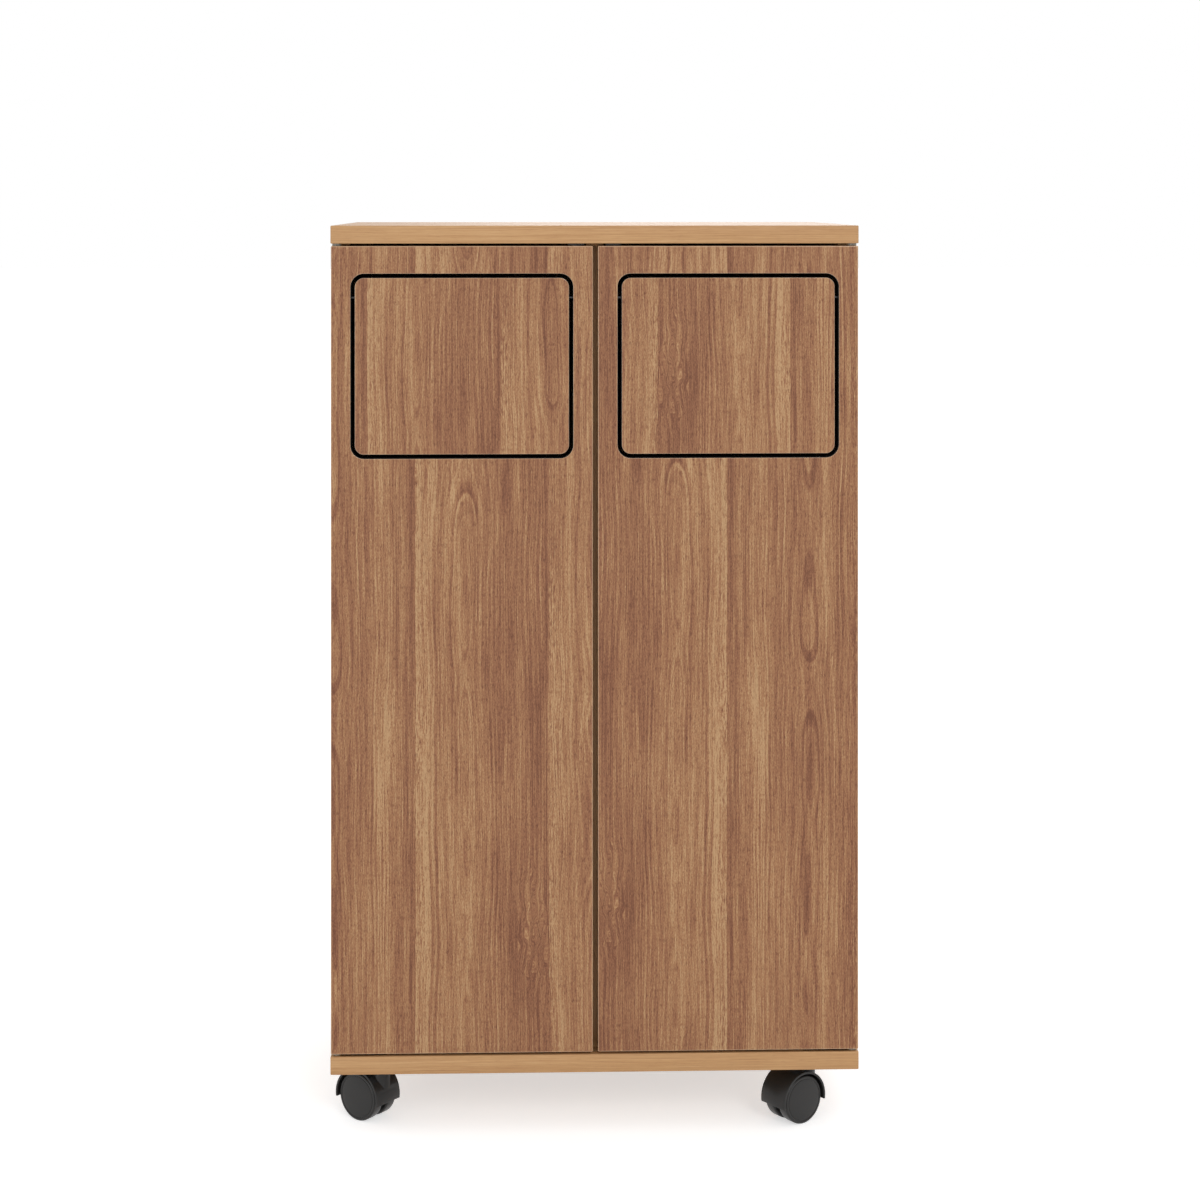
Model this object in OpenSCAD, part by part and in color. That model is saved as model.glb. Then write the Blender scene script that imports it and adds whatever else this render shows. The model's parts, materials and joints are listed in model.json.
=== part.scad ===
// Trash can cabinet on four twin-wheel casters: two compartments, each with a door, a swing flap and a pail.
// Front is -Y. The origin is on the floor, under the middle of the cabinet.

/* [Cabinet] */
// Width of the cabinet
body_w = 530; // [500:1:620]
// Depth of the cabinet, doors included
body_d = 370; // [350:1:440]
// Height of the cabinet above its casters
body_h = 849; // [800:1:950]
// Thickness of the top board
top_t = 18; // [16:0.5:25]
// Thickness of the bottom board
bottom_t = 18; // [16:0.5:25]
// Thickness of each side panel
side_t = 18; // [16:0.5:22]
// Thickness of the centre divider
divider_t = 18; // [16:0.5:22]
// Thickness of the back panel
back_t = 3; // [2.5:0.1:6]
// Distance from the cabinet's rear to the back panel
back_inset = 10; // [6:0.5:20]
// Depth of the groove that holds the back panel
groove_depth = 5; // [3:0.5:7]

/* [Doors] */
// Thickness of each door
door_t = 18; // [16:0.5:22]
// Gap between the top board and a door
door_gap_top = 2.5; // [1.5:0.1:4]
// Gap between the bottom board and a door
door_gap_bottom = 2.5; // [1.5:0.1:4]
// Gap between the two doors
door_gap_centre = 5.2; // [2:0.1:8]
// Step from a side panel's outer face to the door's edge
door_inset = 0.4; // [0:0.1:1]
// Gap between a door's back and the panels behind it
door_standoff = 2; // [1.8:0.1:4]

/* [Flaps] */
// Width of the door's frame beside the flap opening
opening_margin = 20; // [18:0.5:40]
// Distance from the door's top edge down to the opening
opening_drop = 28; // [26:0.5:60]
// Height of the flap opening
opening_h = 184.4; // [140:0.2:220]
// Corner radius of the flap opening
opening_r = 13; // [6:0.5:20]
// Gap all round the flap
flap_gap = 3.5; // [2.5:0.1:6]
// Corner radius of the flap
flap_r = 9.5; // [4:0.5:15]
// Thickness of the flap
flap_t = 18; // [12:0.5:18]
// Distance from the flap's top edge down to its pins
flap_pin_drop = 20.3; // [18:0.1:30]
// Diameter of a flap pin
flap_pin_d = 3; // [2.5:0.1:4]
// How far a flap pin goes into the door
flap_pin_in_door = 12; // [8:0.5:15]
// Distance from a flap pin's end to the end of its bush
flap_pin_short = 1; // [0.5:0.1:3]
// Length of a bush in the flap
bush_len = 14; // [8:0.5:20]
// Outer diameter of a bush
bush_d = 6; // [5.5:0.1:8]

/* [Pivot hinges] */
// Distance from the cabinet's side to the pivot
pivot_inset = 5.8; // [5.6:0.1:6]
// Diameter of the pivot pin
pivot_d = 5; // [4:0.1:5]
// Length of the pin inside the door
pivot_engage = 8; // [5:0.5:12]
// Width of a hinge leaf
leaf_w = 10; // [9:0.5:10]
// Length of a hinge leaf, from the pivot to its end
leaf_len = 50; // [40:1:70]
// Thickness of a hinge leaf
leaf_t = 2.5; // [2:0.1:3]
// Distance from the pivot to the first screw
leaf_screw_a = 18; // [14:1:22]
// Distance from the pivot to the second screw
leaf_screw_b = 41; // [28:1:44]
// Diameter of the small countersunk screws
small_screw_d = 3; // [2.5:0.1:3.2]
// Length of the small countersunk screws
small_screw_len = 13; // [10:0.5:14]
// Diameter of the thrust washers on the pivots
washer_d = 9.4; // [8.5:0.1:9.8]
// Play above each upper thrust washer
washer_play = 0.3; // [0.1:0.1:0.6]
// Gap round and under the pivot pin inside the door
pivot_room = 0.5; // [0.3:0.1:1]

/* [Push latches] */
// Width of a latch body
latch_w = 16; // [14:0.5:20]
// Height of a latch body
latch_h = 21; // [19:0.5:24]
// Length of a latch body
latch_len = 62; // [56:1:80]
// Distance from a latch body's end to its last screw
latch_screw_end = 5; // [4:0.5:7]
// Distance between a latch body's two screws
latch_screw_step = 12.5; // [8:0.5:14]
// How far a latch screw goes into the top board
latch_screw_grip = 9; // [6:0.5:12]
// Height of the collar round the plunger
collar_h = 1; // [0.5:0.1:1.5]
// Width of the collar round the plunger
collar_w = 2; // [1:0.1:3]
// Gap between the divider and a latch body
latch_side_gap = 2; // [1:0.5:6]
// How far the latch body sits behind the panels' front edges
latch_setback = 3; // [2:0.5:8]
// Height of the plunger's axis below the top board
latch_axis_drop = 12; // [11:0.5:13]
// Diameter of the plunger
plunger_d = 8; // [6:0.5:9]
// Length of the plunger inside the latch body
plunger_inside = 30; // [20:1:34]
// Length of the plunger's tapered tip
tip_h = 1; // [0.5:0.1:1.5]
// How much narrower the tip is than the plunger
tip_taper = 1.6; // [0.5:0.1:3]
// Thickness of the magnet in the plunger's tip
magnet_t = 2; // [1:0.1:3]
// Wall of the tip round its magnet
magnet_wall = 0.7; // [0.5:0.1:1]
// Travel of the plunger
plunger_travel = 2; // [1:0.5:2]
// Gap between the plunger's tip and the strike plate
plunger_gap = 0.3; // [0.2:0.1:0.6]
// Diameter of the strike plate
strike_d = 14; // [11:0.5:15]
// Thickness of the strike plate
strike_t = 1; // [0.8:0.1:1.5]

/* [Panel fittings] */
// Diameter of a cam lock
cam_d = 15; // [12:0.5:16]
// Depth of a cam lock
cam_depth = 12.5; // [11:0.1:13.5]
// Distance from a panel's end to the cam's centre
cam_setback = 34; // [26:1:40]
// Width of a cam's screwdriver slot
cam_slot_w = 2; // [1:0.1:3]
// Depth of a cam's screwdriver slot
cam_slot_depth = 1.5; // [1:0.1:3]
// Diameter of a cam bolt's shaft
bolt_d = 6; // [5:0.1:6.5]
// Diameter of a cam bolt's threaded end
bolt_thread_d = 5; // [4:0.1:5]
// Depth of the threaded end in the board
bolt_thread_len = 11; // [8:0.5:12]
// Diameter of a dowel
dowel_d = 8; // [6:0.5:8]
// Depth of a dowel in the top or bottom board
dowel_in_board = 12; // [8:0.5:13]
// Depth of a dowel in an upright panel
dowel_in_panel = 23; // [15:0.5:28]
// Distance from a panel's front edge to its first cam
fitting_front = 50; // [40:1:70]
// Distance from the cabinet's rear to its last cam
fitting_rear = 60; // [45:1:80]
// Distance from a cam to the dowel beside it
dowel_step = 32; // [20:1:40]

/* [Pails] */
// Gap between a pail's rim and the compartment's sides
pail_side_gap = 6; // [3:0.5:20]
// Gap between the panels' front edges and a pail's rim
pail_front_gap = 12; // [6:0.5:20]
// Depth of a pail's rim from front to back
pail_d = 300; // [240:1:305]
// Height of a pail
pail_h = 520; // [380:1:545]
// How far each side of a pail draws in towards its base
pail_taper = 18; // [8:0.5:26]
// Thickness of a pail's wall
pail_wall = 2; // [1.5:0.1:3]
// Corner radius of a pail's rim
pail_r = 36; // [26:1:50]
// Width of a pail's rolled rim
pail_rim_w = 7; // [5:0.5:10]
// Height of a pail's rolled rim
pail_rim_h = 12; // [8:0.5:20]

/* [Casters] */
// Height of a caster, from the floor to its plate's top
caster_h = 61; // [59.5:0.5:66]
// Distance from the cabinet's side to a caster's swivel axis
caster_side = 48; // [48:1:90]
// Distance from the cabinet's front or rear to a swivel axis
caster_end = 42; // [42:1:90]
// Diameter of a wheel
wheel_d = 48; // [44:0.5:49]
// Distance from the swivel axis to the wheels' axle
trail = 18; // [17:0.5:20]
// Width of a caster over both wheels
caster_w = 35; // [34:0.5:44]
// Thickness of the web between the wheels
web_t = 6.6; // [6:0.1:8]
// Gap beside the web and beside each wheel
wheel_side_gap = 0.6; // [0.4:0.1:1]
// Gap between a wheel's tread and its hood
hood_gap = 2; // [1.5:0.1:2.2]
// Thickness of the hood's shell
hood_t = 2.1; // [1.8:0.1:2.4]
// How far the hood comes down past the axle's level on both sides, in degrees
hood_drop_angle = 9; // [4:1:20]
// Radius of the wheel's rounded tread edges
tread_r = 1.5; // [1:0.1:2.5]
// Distance from the tread to the ring groove in the wheel's face
ring_inset = 2.8; // [2.5:0.1:8]
// Width of the ring groove
ring_w = 0.8; // [0.6:0.1:2]
// Depth of the ring groove
ring_depth = 0.5; // [0.3:0.1:1]
// How far the wheel's face bulges inside the ring groove
face_bulge = 0.8; // [0.3:0.1:1.2]
// Wall of the wheel's rim and hub, beside the hollow on its inner face
wheel_wall = 4; // [3:0.1:6]
// Depth of the hollow on the wheel's inner face
hollow_depth = 4; // [2:0.5:6]
// Diameter of the axle
axle_d = 6; // [5:0.1:6.5]
// How far the axle goes into each wheel
axle_engage = 9; // [7:0.5:9.5]
// Depth of the axle's hole in a wheel
axle_hole_depth = 10; // [9.5:0.1:11]
// Wall of the web's hub round the axle
web_hub_wall = 3.5; // [2:0.1:5]
// Diameter of the swivel pin
king_d = 8; // [7:0.1:8]
// How far the swivel pin goes into the hood's boss
king_engage = 9.5; // [8:0.5:9.5]
// Thickness of the swivel pin's flange
king_flange_h = 2.2; // [1.6:0.1:2.4]
// Step from the boss's edge in to the swivel pin's flange
boss_margin = 2; // [1:0.5:3]
// Gap between the swivel pin's flange and the hood's boss
bearing_gap = 0.3; // [0.2:0.1:0.5]
// Height of the snap ring on the swivel pin
snap_h = 1; // [0.8:0.1:1.2]
// Distance from the snap ring to the end of the swivel pin
snap_end = 3; // [2:0.1:4]
// Depth of the groove for the snap ring in the swivel pin
snap_depth = 0.8; // [0.5:0.1:1]
// How far the snap ring stands out of the swivel pin
snap_out = 1; // [0.6:0.1:1.4]
// Gap under the swivel pin in the hood
king_room = 0.5; // [0.3:0.1:0.5]
// Gap round the snap ring in the hood
snap_room = 0.25; // [0.15:0.05:0.3]
// Diameter of the boss round the swivel pin
boss_d = 18; // [17:0.5:20]
// Width and depth of the caster plate
plate_w = 38; // [37:0.5:42]
// Thickness of the caster plate
plate_t = 2.5; // [2:0.1:3]
// Corner radius of the caster plate
plate_r = 4; // [2:0.5:8]
// Distance from the plate's middle to each row of screws
plate_screw = 13.5; // [13.2:0.1:14.5]
// Diameter of a caster screw
caster_screw_d = 4; // [3.5:0.1:4.2]
// Length of a caster screw in the bottom board
caster_screw_len = 12; // [9:0.5:14]
// Height of a caster screw's head
pan_head_h = 1.8; // [1.2:0.1:2.4]

/* [Hidden] */
$fn = 64;
walnut = "#a0714f";
oak = "#c19b6c";
charcoal = "#3c3a38";
steel = "#b9bcc0";
brass = "#b8954f";
nylon = "#e9e6dc";
grey_plastic = "#8d9094";
beech = "#d8b98a";
// Clearance of a pin or shaft that turns or slides, on the radius
run_fit = 0.05;
// Clearance of a fitting in its hole, on the radius
seat_fit = 0.05;
// Overlap of a cutting shape past the face that it cuts
eps = 0.5;
half_w = body_w/2;
front_y = -body_d/2;
rear_y = body_d/2;
bottom_z = caster_h;
floor_z = bottom_z + bottom_t;
top_z = caster_h + body_h;
ceiling_z = top_z - top_t;
panel_front = front_y + door_t + door_standoff;
back_y = rear_y - back_inset - back_t;
door_in_x = door_gap_centre/2;
door_out_x = half_w - door_inset;
door_bottom_z = floor_z + door_gap_bottom;
door_top_z = ceiling_z - door_gap_top;
door_back_y = front_y + door_t;
opening_in_x = door_in_x + opening_margin;
opening_out_x = door_out_x - opening_margin;
opening_top_z = door_top_z - opening_drop;
opening_bottom_z = opening_top_z - opening_h;
flap_in_x = opening_in_x + flap_gap;
flap_out_x = opening_out_x - flap_gap;
flap_top_z = opening_top_z - flap_gap;
flap_bottom_z = opening_bottom_z + flap_gap;
flap_pin_z = flap_top_z - flap_pin_drop;
flap_pin_y = front_y + flap_t/2;
pivot_x = half_w - pivot_inset;
pivot_y = front_y + door_t/2;
// A countersunk head and a pan head are about twice as wide as their screw
head_ratio = 1.9;
small_head_d = small_screw_d*head_ratio;
small_head_h = (small_head_d - small_screw_d)/2;
latch_x = divider_t/2 + latch_side_gap + latch_w/2;
latch_front = panel_front + latch_setback;
latch_axis_z = ceiling_z - latch_axis_drop;
plunger_tip_y = door_back_y + strike_t + plunger_gap;
magnet_d = plunger_d - tip_taper - 2*magnet_wall;
latch_screw_places = [for (step = [latch_screw_step, 0]) latch_front + latch_len - latch_screw_end - step];
latch_screw_len = latch_h + latch_screw_grip;
panel_xs = [-half_w + side_t/2, 0, half_w - side_t/2];
cam_ys = [panel_front + fitting_front, rear_y - fitting_rear];
dowel_ys = [panel_front + fitting_front + dowel_step, rear_y - fitting_rear - dowel_step];
pail_w = half_w - side_t - divider_t/2 - 2*pail_side_gap;
pail_x = divider_t/2 + pail_side_gap + pail_w/2;
pail_y = panel_front + pail_front_gap + pail_d/2;
pail_body_w = pail_w - 2*pail_rim_w;
pail_body_d = pail_d - 2*pail_rim_w;
pail_body_r = pail_r - pail_rim_w;
wheel_r = wheel_d/2;
hood_in_r = wheel_r + hood_gap;
hood_out_r = hood_in_r + hood_t;
wheel_in_x = web_t/2 + wheel_side_gap;
wheel_out_x = caster_w/2 - wheel_side_gap;
wheel_face_x = wheel_out_x - face_bulge;
face_r = wheel_r - ring_inset - ring_w;
plate_z = caster_h - plate_t;
boss_top = plate_z - king_flange_h - bearing_gap;
king_bottom = boss_top - king_engage;
snap_z = king_bottom + snap_end;
stem_x = half_w - caster_side;
stem_y = rear_y - caster_end;
pan_head_d = caster_screw_d*head_ratio;
pan_head_taper = 1.6;
// Thickness of the thin slices that a pail's tapered solid spans
slice = 0.1;
// Side of the cabinet, front or rear, and how far the caster there has swivelled, in degrees
corners = [[-1, -1, 52], [1, -1, 126], [-1, 1, 140], [1, 1, 70]];
// Number of steps in the curve of a wheel's bulging face
face_steps = 6;

// A rectangle with round corners, w wide and h high, with its middle at the origin
module round_rect(w, h, r) {
    square([w - 2*r, h], center = true);
    square([w, h - 2*r], center = true);
    for (x = [-1, 1], y = [-1, 1])
        translate([x*(w/2 - r), y*(h/2 - r)]) circle(r = r);
}

// Draws for the right side, or its mirror image for the left side
module on_side(side) {
    mirror([side < 0 ? 1 : 0, 0, 0]) children();
}

// A block between two corners
module block(low, high) {
    translate(low) cube(high - low);
}

// A countersunk screw with its head's top at the origin, pointing down; grow widens it into its hole
module small_screw(length, grow = 0) {
    cylinder(h = length, d = small_screw_d + 2*grow);
    cylinder(h = small_head_h + grow, d1 = small_head_d + 2*grow, d2 = small_screw_d + 2*grow);
}

// Places of the cams along a panel's end, at both ends of each upright; z_dir points into the board
module fitting_places(i, ys) {
    for (end = [0, 1], y = ys)
        translate([panel_xs[i], y, end == 0 ? floor_z : ceiling_z]) mirror([0, 0, 1 - end]) children();
}

// A cam bolt: its thread points into the board, its shaft reaches back to the cam
module cam_bolt_shape(grow = 0) {
    cylinder(h = bolt_thread_len + grow, d = bolt_thread_d + 2*grow);
    translate([0, 0, -cam_setback]) cylinder(h = cam_setback, d = bolt_d + 2*grow);
}

module dowel_shape(grow = 0) {
    translate([0, 0, -dowel_in_panel - grow])
        cylinder(h = dowel_in_panel + dowel_in_board + 2*grow, d = dowel_d + 2*grow);
}

// A cam's round body, let into the panel's inner face; face is the side that the face looks to
module cam_place(i) {
    face = i == 0 ? 1 : -1;
    half = (i == 1 ? divider_t : side_t)/2;
    translate([face*half, 0, -cam_setback]) rotate([0, -face*90, 0]) children();
}

module cam_pocket() {
    translate([0, 0, -eps]) cylinder(h = cam_depth + seat_fit + eps, d = cam_d + 2*seat_fit);
}

module panel_fitting_holes(i) {
    fitting_places(i, cam_ys) {
        cam_bolt_shape(seat_fit);
        cam_place(i) cam_pocket();
    }
    fitting_places(i, dowel_ys) dowel_shape(seat_fit);
}

module board_fitting_holes() {
    for (i = [0:2]) {
        fitting_places(i, cam_ys) cam_bolt_shape(seat_fit);
        fitting_places(i, dowel_ys) dowel_shape(seat_fit);
    }
}

module cam_locks() {
    color(steel) for (i = [0:2]) fitting_places(i, cam_ys) difference() {
        cam_place(i) cylinder(h = cam_depth, d = cam_d);
        translate([0, 0, -cam_setback - bolt_d/2]) cylinder(h = cam_setback, d = bolt_d + 2*seat_fit);
        cam_place(i) translate([-cam_slot_w/2, -cam_d/3, -eps])
            cube([cam_slot_w, 2*cam_d/3, cam_slot_depth + eps]);
    }
}

module cam_bolts() {
    color(steel) for (i = [0:2]) fitting_places(i, cam_ys) cam_bolt_shape();
}

module dowels() {
    color(beech) for (i = [0:2]) fitting_places(i, dowel_ys) dowel_shape();
}

// The space that the back panel fills, with its clearance
module back_shape(grow = 0) {
    block([-half_w + side_t - groove_depth - grow, back_y - grow, floor_z - groove_depth - grow],
        [half_w - side_t + groove_depth + grow, back_y + back_t + grow, ceiling_z + groove_depth + grow]);
}

// Places of the four board leaves; the leaf lies in +Z and its pin points to -Z
module leaf_places() {
    for (side = [-1, 1], end = [0, 1])
        on_side(side) translate([pivot_x, pivot_y, end == 0 ? floor_z : ceiling_z])
            mirror([0, 0, 1 - end]) children();
}

// Places of the two leaves of a door; the leaf lies in -Z
module door_leaf_places() {
    for (end = [0, 1])
        translate([pivot_x, pivot_y, end == 0 ? door_bottom_z : door_top_z])
            mirror([0, 0, 1 - end]) children();
}

// The outline of a hinge leaf, seen along its pin
module leaf_outline(grow = 0) {
    circle(d = leaf_w + 2*grow);
    translate([-leaf_len - grow, -leaf_w/2 - grow]) square([leaf_len + grow, leaf_w + 2*grow]);
}

module leaf_screw_places() {
    for (x = [leaf_screw_a, leaf_screw_b]) translate([-x, 0, 0]) children();
}

module board_leaf_cut() {
    translate([0, 0, -eps]) linear_extrude(leaf_t + eps) leaf_outline(seat_fit);
    leaf_screw_places() small_screw(small_screw_len + seat_fit, seat_fit);
}

module board_hinge_leaves() {
    color(brass) leaf_places() difference() {
        union() {
            linear_extrude(leaf_t) leaf_outline();
            translate([0, 0, -door_gap_top - leaf_t - pivot_engage])
                cylinder(h = door_gap_top + 2*leaf_t + pivot_engage, d = pivot_d);
        }
        leaf_screw_places() translate([0, 0, -eps]) small_screw_bore();
    }
}

// The hole through a leaf for a countersunk screw
module small_screw_bore() {
    cylinder(h = leaf_t + 2*eps, d = small_screw_d + 2*seat_fit);
    translate([0, 0, eps]) cylinder(h = small_head_h + seat_fit, d1 = small_head_d + 2*seat_fit,
        d2 = small_screw_d + 2*seat_fit);
    cylinder(h = eps, d = small_head_d + 2*seat_fit);
}

module board_leaf_screws() {
    color(steel) leaf_places() leaf_screw_places() small_screw(small_screw_len);
}

// Thrust washers between the leaves: the lower ones carry the doors, the upper ones have play
module hinge_washers() {
    color(nylon) for (side = [-1, 1]) on_side(side) {
        translate([pivot_x, pivot_y, floor_z]) washer_ring(door_gap_bottom);
        translate([pivot_x, pivot_y, ceiling_z - door_gap_top + washer_play])
            washer_ring(door_gap_top - washer_play);
    }
}

module washer_ring(h) {
    difference() {
        cylinder(h = h, d = washer_d);
        translate([0, 0, -eps]) cylinder(h = h + 2*eps, d = pivot_d + 2*seat_fit);
    }
}

module top_board() {
    color(oak) difference() {
        block([-half_w, front_y, ceiling_z], [half_w, rear_y, top_z]);
        back_shape(seat_fit);
        board_fitting_holes();
        leaf_places() board_leaf_cut();
        for (side = [-1, 1]) on_side(side) latch_screw_holes();
    }
}

module bottom_board() {
    color(oak) difference() {
        block([-half_w, front_y, bottom_z], [half_w, rear_y, floor_z]);
        back_shape(seat_fit);
        board_fitting_holes();
        leaf_places() board_leaf_cut();
        for (c = corners) at_corner(c) caster_screw_places()
            cylinder(h = caster_screw_len + seat_fit, d = caster_screw_d + 2*seat_fit);
    }
}

module side_panel(side) {
    i = side < 0 ? 0 : 2;
    x = side*(half_w - side_t/2);
    color(oak) difference() {
        block([x - side_t/2, panel_front, floor_z], [x + side_t/2, rear_y, ceiling_z]);
        back_shape(seat_fit);
        panel_fitting_holes(i);
    }
}

module left_side_panel() { side_panel(-1); }
module right_side_panel() { side_panel(1); }

module centre_divider() {
    color(oak) difference() {
        block([-divider_t/2, panel_front, floor_z], [divider_t/2, back_y, ceiling_z]);
        panel_fitting_holes(1);
    }
}

module back_panel() {
    color(oak) back_shape();
}

// Turns an outline drawn in X and Z into a slab that starts at y and is t thick
module slab(y, t) {
    translate([0, y + t, 0]) rotate([90, 0, 0]) linear_extrude(t) children();
}

// A door, drawn on the right side
module door() {
    opening_w = opening_out_x - opening_in_x;
    color(walnut) difference() {
        block([door_in_x, front_y, door_bottom_z], [door_out_x, door_back_y, door_top_z]);
        slab(front_y - eps, door_t + 2*eps)
            translate([(opening_in_x + opening_out_x)/2, (opening_top_z + opening_bottom_z)/2])
                round_rect(opening_w, opening_h, opening_r);
        flap_pin_places(flap_pin_d + 2*seat_fit, flap_pin_in_door + seat_fit, eps);
        door_leaf_places() {
            translate([0, 0, -leaf_t]) linear_extrude(leaf_t + eps) leaf_outline(seat_fit);
            translate([0, 0, -leaf_t - pivot_engage - pivot_room])
                cylinder(h = pivot_engage + leaf_t, d = pivot_d + 2*pivot_room);
            leaf_screw_places() mirror([0, 0, 1]) small_screw(small_screw_len + seat_fit, seat_fit);
        }
        strike_place() cylinder(h = small_screw_len + seat_fit, d = small_screw_d + 2*seat_fit);
    }
}

module left_door() { on_side(-1) door(); }
module right_door() { on_side(1) door(); }

// A pin at each side of the opening: length inside the door, and inside the opening
module flap_pin_places(d, in_door, in_opening) {
    for (s = [-1, 1]) {
        x = s < 0 ? opening_in_x : opening_out_x;
        translate([x + s*in_door, flap_pin_y, flap_pin_z]) rotate([0, -s*90, 0])
            cylinder(h = in_door + in_opening, d = d);
    }
}

module flap_pins() {
    color(steel) flap_pin_places(flap_pin_d, flap_pin_in_door, flap_gap + bush_len - flap_pin_short);
}

module left_flap_pins() { on_side(-1) flap_pins(); }
module right_flap_pins() { on_side(1) flap_pins(); }

// A bush at each side of the flap
module bush_places() {
    for (s = [-1, 1])
        translate([s < 0 ? flap_in_x : flap_out_x, flap_pin_y, flap_pin_z]) rotate([0, -s*90, 0]) children();
}

module flap() {
    color(walnut) difference() {
        slab(front_y, flap_t)
            translate([(flap_in_x + flap_out_x)/2, (flap_top_z + flap_bottom_z)/2])
                round_rect(flap_out_x - flap_in_x, flap_top_z - flap_bottom_z, flap_r);
        bush_places() translate([0, 0, -eps])
            cylinder(h = bush_len + seat_fit + eps, d = bush_d + 2*seat_fit);
    }
}

module left_flap() { on_side(-1) flap(); }
module right_flap() { on_side(1) flap(); }

module flap_bushes() {
    color(nylon) bush_places() difference() {
        cylinder(h = bush_len, d = bush_d);
        translate([0, 0, -eps]) cylinder(h = bush_len + 2*eps, d = flap_pin_d + 2*run_fit);
    }
}

module left_flap_bushes() { on_side(-1) flap_bushes(); }
module right_flap_bushes() { on_side(1) flap_bushes(); }

module door_leaves() {
    color(brass) door_leaf_places() difference() {
        translate([0, 0, -leaf_t]) linear_extrude(leaf_t) leaf_outline();
        translate([0, 0, -leaf_t - eps]) cylinder(h = leaf_t + 2*eps, d = pivot_d + 2*run_fit);
        leaf_screw_places() mirror([0, 0, 1]) translate([0, 0, -eps]) small_screw_bore();
    }
}

module left_door_leaves() { on_side(-1) door_leaves(); }
module right_door_leaves() { on_side(1) door_leaves(); }

module leaf_screws() {
    color(steel) door_leaf_places() leaf_screw_places() mirror([0, 0, 1]) small_screw(small_screw_len);
}

module left_leaf_screws() { on_side(-1) leaf_screws(); }
module right_leaf_screws() { on_side(1) leaf_screws(); }

// The place of a strike plate: its axis points out of the door's back
module strike_place() {
    translate([latch_x, door_back_y + strike_t, latch_axis_z]) rotate([90, 0, 0]) children();
}

module strike() {
    color(steel) strike_place() difference() {
        cylinder(h = strike_t, d = strike_d);
        translate([0, 0, -eps]) cylinder(h = strike_t + 2*eps, d = small_screw_d + 2*seat_fit);
        strike_dish(seat_fit);
    }
}

// The flat cone of the strike's screw head, as deep as the plate allows
module strike_dish(grow = 0) {
    h = strike_t*0.8;
    cylinder(h = h, d1 = small_screw_d + 2*h + 2*grow, d2 = small_screw_d + 2*grow);
}

module left_strike() { on_side(-1) strike(); }
module right_strike() { on_side(1) strike(); }

module strike_screw() {
    color(steel) strike_place() {
        cylinder(h = small_screw_len, d = small_screw_d);
        strike_dish();
    }
}

module left_strike_screw() { on_side(-1) strike_screw(); }
module right_strike_screw() { on_side(1) strike_screw(); }

module latch_screw_holes() {
    for (y = latch_screw_places)
        translate([latch_x, y, ceiling_z - latch_h]) small_screw(latch_screw_len + seat_fit, seat_fit);
}

module latch_bodies() {
    color(grey_plastic) for (side = [-1, 1]) on_side(side) difference() {
        union() {
            block([latch_x - latch_w/2, latch_front, ceiling_z - latch_h],
                [latch_x + latch_w/2, latch_front + latch_len, ceiling_z]);
            translate([latch_x, latch_front + eps, latch_axis_z]) rotate([90, 0, 0])
                cylinder(h = collar_h + eps, d = plunger_d + 2*collar_w);
        }
        translate([latch_x, latch_front - collar_h - eps, latch_axis_z]) rotate([-90, 0, 0])
            cylinder(h = collar_h + plunger_inside + plunger_travel + 2*eps, d = plunger_d + 2*run_fit);
        for (y = latch_screw_places)
            translate([latch_x, y, ceiling_z - latch_h - eps]) {
                cylinder(h = latch_h + 2*eps, d = small_screw_d + 2*seat_fit);
                cylinder(h = eps, d = small_head_d + 2*seat_fit);
                translate([0, 0, eps]) cylinder(h = small_head_h + seat_fit, d1 = small_head_d + 2*seat_fit,
                    d2 = small_screw_d + 2*seat_fit);
            }
    }
}

module latch_screws() {
    color(steel) for (side = [-1, 1], y = latch_screw_places)
        on_side(side) translate([latch_x, y, ceiling_z - latch_h]) small_screw(latch_screw_len);
}

// The place of a plunger: its axis points from the tip's face back into the latch body
module plunger_place() {
    translate([latch_x, plunger_tip_y, latch_axis_z]) rotate([-90, 0, 0]) children();
}

module plunger() {
    length = latch_front - plunger_tip_y + plunger_inside;
    color(charcoal) plunger_place() difference() {
        union() {
            cylinder(h = tip_h, d1 = plunger_d - tip_taper, d2 = plunger_d);
            translate([0, 0, tip_h]) cylinder(h = length - tip_h, d = plunger_d);
        }
        translate([0, 0, -eps]) cylinder(h = magnet_t + seat_fit + eps, d = magnet_d + 2*seat_fit);
    }
}

module left_plunger() { on_side(-1) plunger(); }
module right_plunger() { on_side(1) plunger(); }

// The round magnet that is let into a plunger's tip
module magnet() {
    color(steel) plunger_place() cylinder(h = magnet_t, d = magnet_d);
}

module left_magnet() { on_side(-1) magnet(); }
module right_magnet() { on_side(1) magnet(); }

// A pail's tapered solid: inset draws it in on every side, and its base starts at base_z
module pail_taper_solid(inset, base_z) {
    hull() {
        translate([0, 0, base_z]) linear_extrude(slice)
            round_rect(pail_body_w - 2*pail_taper - 2*inset, pail_body_d - 2*pail_taper - 2*inset,
                pail_body_r - inset, $fn = 40);
        translate([0, 0, pail_h - slice]) linear_extrude(slice)
            round_rect(pail_body_w - 2*inset, pail_body_d - 2*inset, pail_body_r - inset, $fn = 40);
    }
}

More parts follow.
